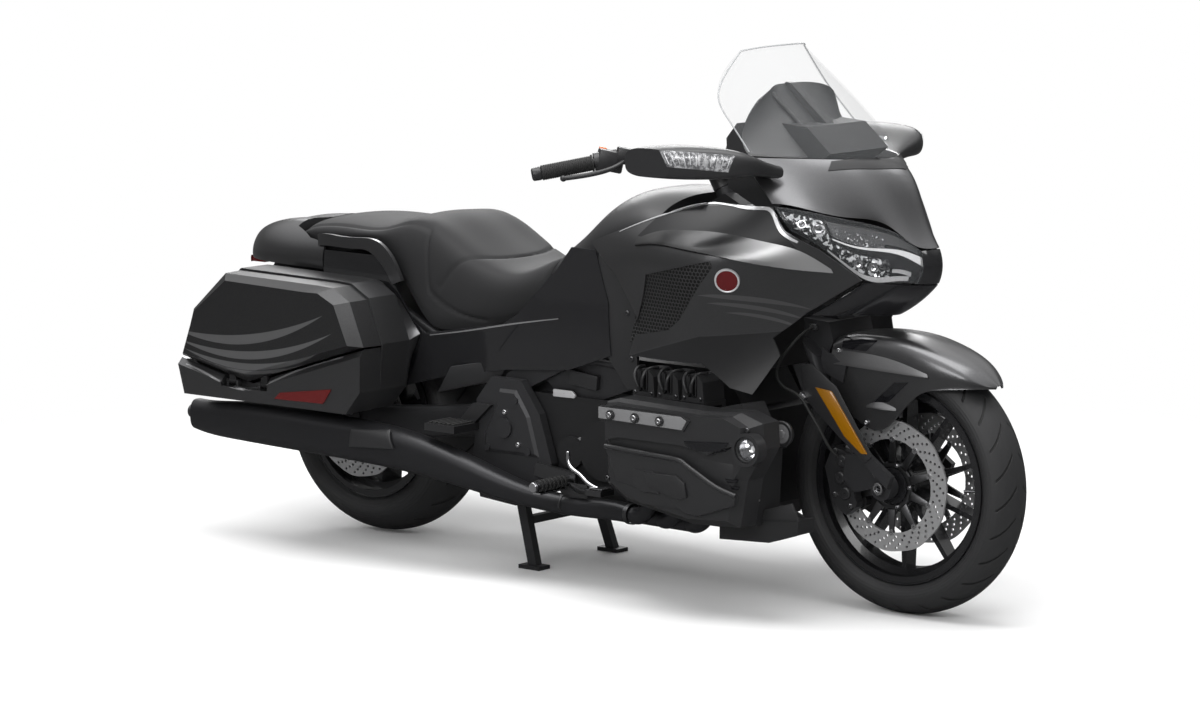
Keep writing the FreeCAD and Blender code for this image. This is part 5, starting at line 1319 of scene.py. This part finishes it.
def fork_guards():
    """Slim guard over each leg with the long amber reflector on it, and a brake hose from the fork's top to
    each caliper, with its ends and a clip."""
    guard = plate(FORK_GUARD, -134.4, -138)
    amber = plate(REFLECTOR, -138.2, -143)
    clips = [block((700, -141, 522), (20, 12, 16), (0, 40, 0)), block((692, -88, 686), (18, 10, 14)),
             block((790, -108, 374), (14, 10, 16))]
    piece("fork_guards", both([guard]), "satin_black", "steering", bevel=1.0)
    piece("brake_hoses", both([tube(HOSE, HOSE_R, 10, 120)]), "grip", "steering")
    piece("hose_clips", both(clips), "bright_steel", "steering", bevel=1.5)
    piece("amber_reflectors", both([amber]), "amber", "steering", bevel=1.5,
          node="fork_reflectors")


FENDER_Y = -200
CREASE_UPPER = [(752, 636), (850, 636), (940, 626), (1030, 602)]
CREASE_LOWER = [(751, 604), (837, 602), (917, 599), (1034, 594)]
LIP_UPPER = [(860, 512), (880, 521), (899, 523), (944, 512)]
LIP_LOWER = [(858, 508), (886, 508), (912, 507), (946, 507)]
FENDER_SLOT_SHADE = [(938, 574), (979, 578), (922, 526), (879, 521)]
FENDER_WELL_SHADE = [(778, 642), (778, 668), (880, 668), (852, 641)]
FENDER_SCREWS = ((772, 636), (860, 470))


def fender_details():
    """Leaning crease, and a lip at the foot of the slot, in paler paint as a painted highlight; the slot and
    an upper recess as dark sheets of painted shade; and screws on the fender's sides.
    """
    crease = wedge("front_fender", beside(CREASE_UPPER, FENDER_Y), beside(CREASE_LOWER, FENDER_Y), 0.26)
    lip = wedge("front_fender", beside(LIP_UPPER, FENDER_Y), beside(LIP_LOWER, FENDER_Y), 0.5, 30)
    # The slot and the upper recess are thin dark sheets of painted shade.
    dark = [thick(laid_grid("front_fender", beside(corners, FENDER_Y), 14, 8, RIGHT, 0.5), 0.8)
            for corners in (FENDER_SLOT_SHADE, FENDER_WELL_SHADE)]
    # Crease and lip wear the paler paint, a painted highlight.
    piece("fender_creases", both([crease, lip]), "crease_painted_highlight", "steering", split=25)
    piece("fender_slot_shades", both(dark), "glass_dark", "steering", split=25)
    heads = []
    for x, z in FENDER_SCREWS:
        hit, _ = cast("front_fender", (x, -400, z), RIGHT)
        if hit is not None:
            heads.append(screw(hit[0], hit[1] - 1, hit[2], 5.5))
    piece("fender_screws", both(heads), "bright_steel", "steering", split=30)


# Panels and bags

PANEL_Y = -500
SHOULDER_UPPER = [(330, 893), (394, 915), (486, 926), (569, 928), (644, 922), (710, 910), (774, 890),
                  (822, 846)]
SHOULDER_LOWER = [(336, 878), (411, 887), (507, 883), (589, 876), (654, 868), (710, 860), (767, 850),
                  (824, 838)]
COVER_HIGHLIGHT_PATH = [(-440, 579), (-300, 604), (-120, 640), (30, 666)]
COVER_SEAM = [(-178, 566), (-140, 606), (-104, 640)]
COVER_SLOT_SHADE = [(-562, 512), (-484, 530), (-520, 470), (-572, 462)]
COVER_BOX = [(-353, 508), (-141, 551), (-186, 490), (-398, 436)]
PIVOT_SCREWS = ((-206, -262, 415), (-138, -268, 416), (-94, -268, 337))
PILLAR_SCREWS = ((272, 588), (258, 700))
BAG_Y = -600
BAG_HIGHLIGHT_PATH = [(-1120, 464), (-1040, 445), (-921, 417), (-740, 475), (-560, 532)]


def cowl_shoulders():
    """Leaning band along each side cowl from the mesh to the headlamp's lower corner, in paint that holds a
    painted highlight towards the lamp.
    """
    upper, lower = beside(SHOULDER_UPPER, PANEL_Y), beside(SHOULDER_LOWER, PANEL_Y)
    band = wedge("side_cowls", upper, lower, 0.30, 110, 12)
    # The band's paint carries a painted highlight.
    piece("cowl_shoulders", both([band]), "shoulder_painted_highlight", split=25)


def bag_edge_highlights():
    """Painted highlight along the upper edge of each saddlebag body: a thin pale strip."""
    # A pale strip painted as the highlight along the bag's upper edge.
    line = laid_strip("saddlebag_body_right", beside(BAG_HIGHLIGHT_PATH, BAG_Y), 5.0, RIGHT, 0.7, 80, taper=0.4)
    piece("bag_edge_highlights", both([thick(line, 1.0)]), "edge_painted_highlight", split=50)


def side_cover_details():
    """Painted highlight along the upper edge, a dark slot as painted shade and a dark seam on the side
    covers, a box behind them and the screws of the pivot plates."""
    # A pale strip paints the highlight along the upper edge; the slot is a dark sheet of painted shade, and
    # the seam a dark joint.
    line = laid_strip("side_covers", beside(COVER_HIGHLIGHT_PATH, PANEL_Y), 4.0, RIGHT, 0.7, 60, taper=0.5)
    slot = laid_grid("side_covers", beside(COVER_SLOT_SHADE, PANEL_Y), 14, 8, RIGHT, 0.5)
    seam = laid_strip("side_covers", beside(COVER_SEAM, PANEL_Y), 4.0, RIGHT, 0.5, 20)
    piece("side_edge_highlights", both([thick(line, 1.0)]), "edge_painted_highlight", split=50)
    piece("side_slot_shade_and_seam", both([thick(slot, 0.8), thick(seam, 0.8)]), "glass_dark", split=25)
    piece("side_boxes", both([plate(COVER_BOX, -204, -236)]), "satin_black", bevel=5.0)
    heads = [screw(x, y, z, 6.5) for x, y, z in PIVOT_SCREWS]
    piece("pivot_screws", both(heads), "bright_steel", split=30)


GUSSET = [(-85, 545), (-40, 600), (120, 612), (235, 600), (240, 505), (140, 468), (20, 455), (-40, 500)]
GUSSET_BACK = [(-112, 522), (-2, 520), (-2, 455), (-112, 455)]
GUSSET_BAR = [(-8, 484), (54, 484), (66, 474), (60, 466), (-8, 465)]
STAY = [(44, 264), (146, 264), (150, 230), (70, 226)]
BRACE = [(-60, -226, 520), (60, -228, 560), (200, -228, 560)]


def frame_gussets():
    """Dark gussets with a bright bar and a brace between the spars and the engine, and below them a shaft
    with a collar, a box with a cap and a stay."""
    webs = [plate(GUSSET, -214, -222), plate(GUSSET_BACK, -190, -196)]
    piece("frame_gussets", both(webs), "frame", bevel=1.5)
    piece("frame_bars", both([plate(GUSSET_BAR, -230, -236)]), "silver", bevel=2.0)
    low = [rod((-40, -192, 382), (100, -192, 391), 16, 28),
           lathe([(-6, 17), (-6, 21), (6, 21), (6, 17)], (-10, -192, 384), (1, 0, 0.06), 28),
           block((92, -222, 358), (76, 14, 56), (0, 4, 0)), plate(STAY, -284, -290)]
    piece("side_shafts", both(low), "satin_black", bevel=1.5)
    cap = lathe([(0, 0.5), (0, 12), (-4, 12), (-5, 10), (-5, 0.5)], (79, -229, 358), Y, 28, False)
    piece("side_caps", both([cap]), "grey_satin")
    brace = [tube(BRACE, 9, 12, 20), block((90, -228, 515), (90, 16, 36), (0, 6, 0))]
    piece("frame_braces", both(brace), "satin_black", bevel=1.5)


def pillar_screws():
    """Two screws on each pillar, where a ray from the side meets it."""
    heads = []
    for x, z in PILLAR_SCREWS:
        hit, _ = cast("side_pillars", (x, -600, z), RIGHT)
        if hit is not None:
            heads.append(screw(x, hit[1], z, 6.5, 3.0))
    piece("panel_screws", both(heads), "dark_steel", split=30)


MAKERS = (seat_cover, brake_discs, wheel_trim, caliper_details, lamp_case, lamp_tiles, lamp_cups, lamp_bands,
          aux_lamps, nose_trim, badges, screen_edge_shade, mirror_parts, instruments, bar_parts, engine_bolts,
          cover_plates, engine_sides, intake_details, muffler_parts, tail_parts, peg_parts, fender_details,
          cowl_shoulders, bag_edge_highlights, side_cover_details, fork_guards, frame_gussets, pillar_screws)
for make in MAKERS:
    make()


# Stage

WHITE = (1, 1, 1, 1)
FLOOR_HALF, FLOOR_FADE = 14.0, (1.9, 3.0)
FLOOR_SEEN, FLOOR_MIRRORED = 0.93, 0.11
SKY_BAND, SKY_BRIGHT, SKY_LOW, ROOM = (0.22, 0.85), 1.45, 0.13, 0.85


def mixed(tree, factor, first, second):
    """Mix shader: the first node's shader where the factor is 0, the second's where it is 1."""
    values = (factor, Val(tree, first.outputs[0]), Val(tree, second.outputs[0]))
    return add_node(tree, "ShaderNodeMixShader", dict(enumerate(values)))


def show(tree, kind, node):
    """The node's shader becomes the output of that kind."""
    out = next(n for n in tree.nodes if n.type == kind)
    tree.links.new(node.outputs[0], out.inputs[0])


def white_floor():
    """Pale floor that turns into plain white with distance from the machine, so that only its shadow shows;
    dark to mirror rays."""
    s = FLOOR_HALF
    mesh = bpy.data.meshes.new("floor")
    mesh.from_pydata([(-s, -s, 0), (s, -s, 0), (s, s, 0), (-s, s, 0)], [], [(0, 1, 2, 3)])
    floor = bpy.data.objects.new("floor", mesh)
    bpy.context.collection.objects.link(floor)
    look = Look("floor_white", grey(FLOOR_SEEN), 0.9, specular=0.0)
    tree = look.tree
    path = add_node(tree, "ShaderNodeLightPath").outputs
    mirrored = add_node(tree, "ShaderNodeBsdfDiffuse", {0: (*grey(FLOOR_MIRRORED), 1)})
    white = add_node(tree, "ShaderNodeEmission")
    far = (look.x * look.x + look.y * look.y).sqrt().smooth(*FLOOR_FADE)
    near = mixed(tree, Val(tree, path["Is Glossy Ray"]), look.shader, mirrored)
    show(tree, "OUTPUT_MATERIAL", mixed(tree, far * Val(tree, path["Is Camera Ray"]), near, white))
    mesh.materials.append(look.mat)


def world_light():
    """Plain white sky to the eye, an even dim room to the surfaces, and to mirror rays a room that brightens
    overhead."""
    world = bpy.data.worlds.new("studio")
    bpy.context.scene.world = world
    world.use_nodes = True
    tree = world.node_tree
    seen = next(n for n in tree.nodes if n.type == "BACKGROUND")
    seen.inputs[0].default_value = WHITE
    seen.inputs[1].default_value = 1.0
    up = Val(tree, add_node(tree, "ShaderNodeTexCoord").outputs["Generated"])
    z = Val(tree, add_node(tree, "ShaderNodeSeparateXYZ", {0: up}).outputs[2])
    glow = z.smooth(*SKY_BAND) * SKY_BRIGHT + SKY_LOW
    mirrored = add_node(tree, "ShaderNodeBackground", {0: WHITE, 1: glow})
    room = add_node(tree, "ShaderNodeBackground", {1: ROOM})
    path = add_node(tree, "ShaderNodeLightPath").outputs
    lit = mixed(tree, Val(tree, path["Is Glossy Ray"]), room, mirrored)
    show(tree, "OUTPUT_WORLD", mixed(tree, Val(tree, path["Is Camera Ray"]), lit, seen))


def area_light(name, place, target, size, power):
    """Flat soft lamp at a place in metres, turned to a target."""
    data = bpy.data.lights.new(name, "AREA")
    data.shape = "RECTANGLE"
    data.size, data.size_y = size
    data.energy = power
    light = bpy.data.objects.new(name, data)
    bpy.context.collection.objects.link(light)
    light.location = place
    way = Vector(target) - Vector(place)
    light.rotation_euler = way.to_track_quat("-Z", "Y").to_euler()


CAMERA, YAW, PITCH = (6.75079, -8.20465, 2.06739), radians(39.657), radians(8.1666)
FOCAL_PX, PHOTO_WIDE, SENSOR = 4232.61, 1200, 36.0


def set_camera():
    """The photo's viewing angle and distance."""
    data = bpy.data.cameras.new("camera")
    data.sensor_width = SENSOR
    data.lens = FOCAL_PX / PHOTO_WIDE * SENSOR
    data.clip_end = 100
    camera = bpy.data.objects.new("camera", data)
    bpy.context.collection.objects.link(camera)
    camera.location = CAMERA
    way = Vector((-sin(YAW) * cos(PITCH), cos(YAW) * cos(PITCH), -sin(PITCH)))
    camera.rotation_euler = way.to_track_quat("-Z", "Y").to_euler()
    bpy.context.scene.camera = camera


white_floor()
world_light()
area_light("top", (0.2, -0.6, 4.2), (0.0, 0.0, 0.4), (5.0, 2.6), 165)
area_light("side", (1.5, -4.5, 2.6), (0.0, 0.0, 0.6), (4.0, 1.2), 90)
area_light("back", (-3.0, 3.5, 3.0), (0.0, 0.0, 0.6), (3.0, 1.5), 90)
set_camera()
bpy.context.scene.view_settings.view_transform = "Standard"
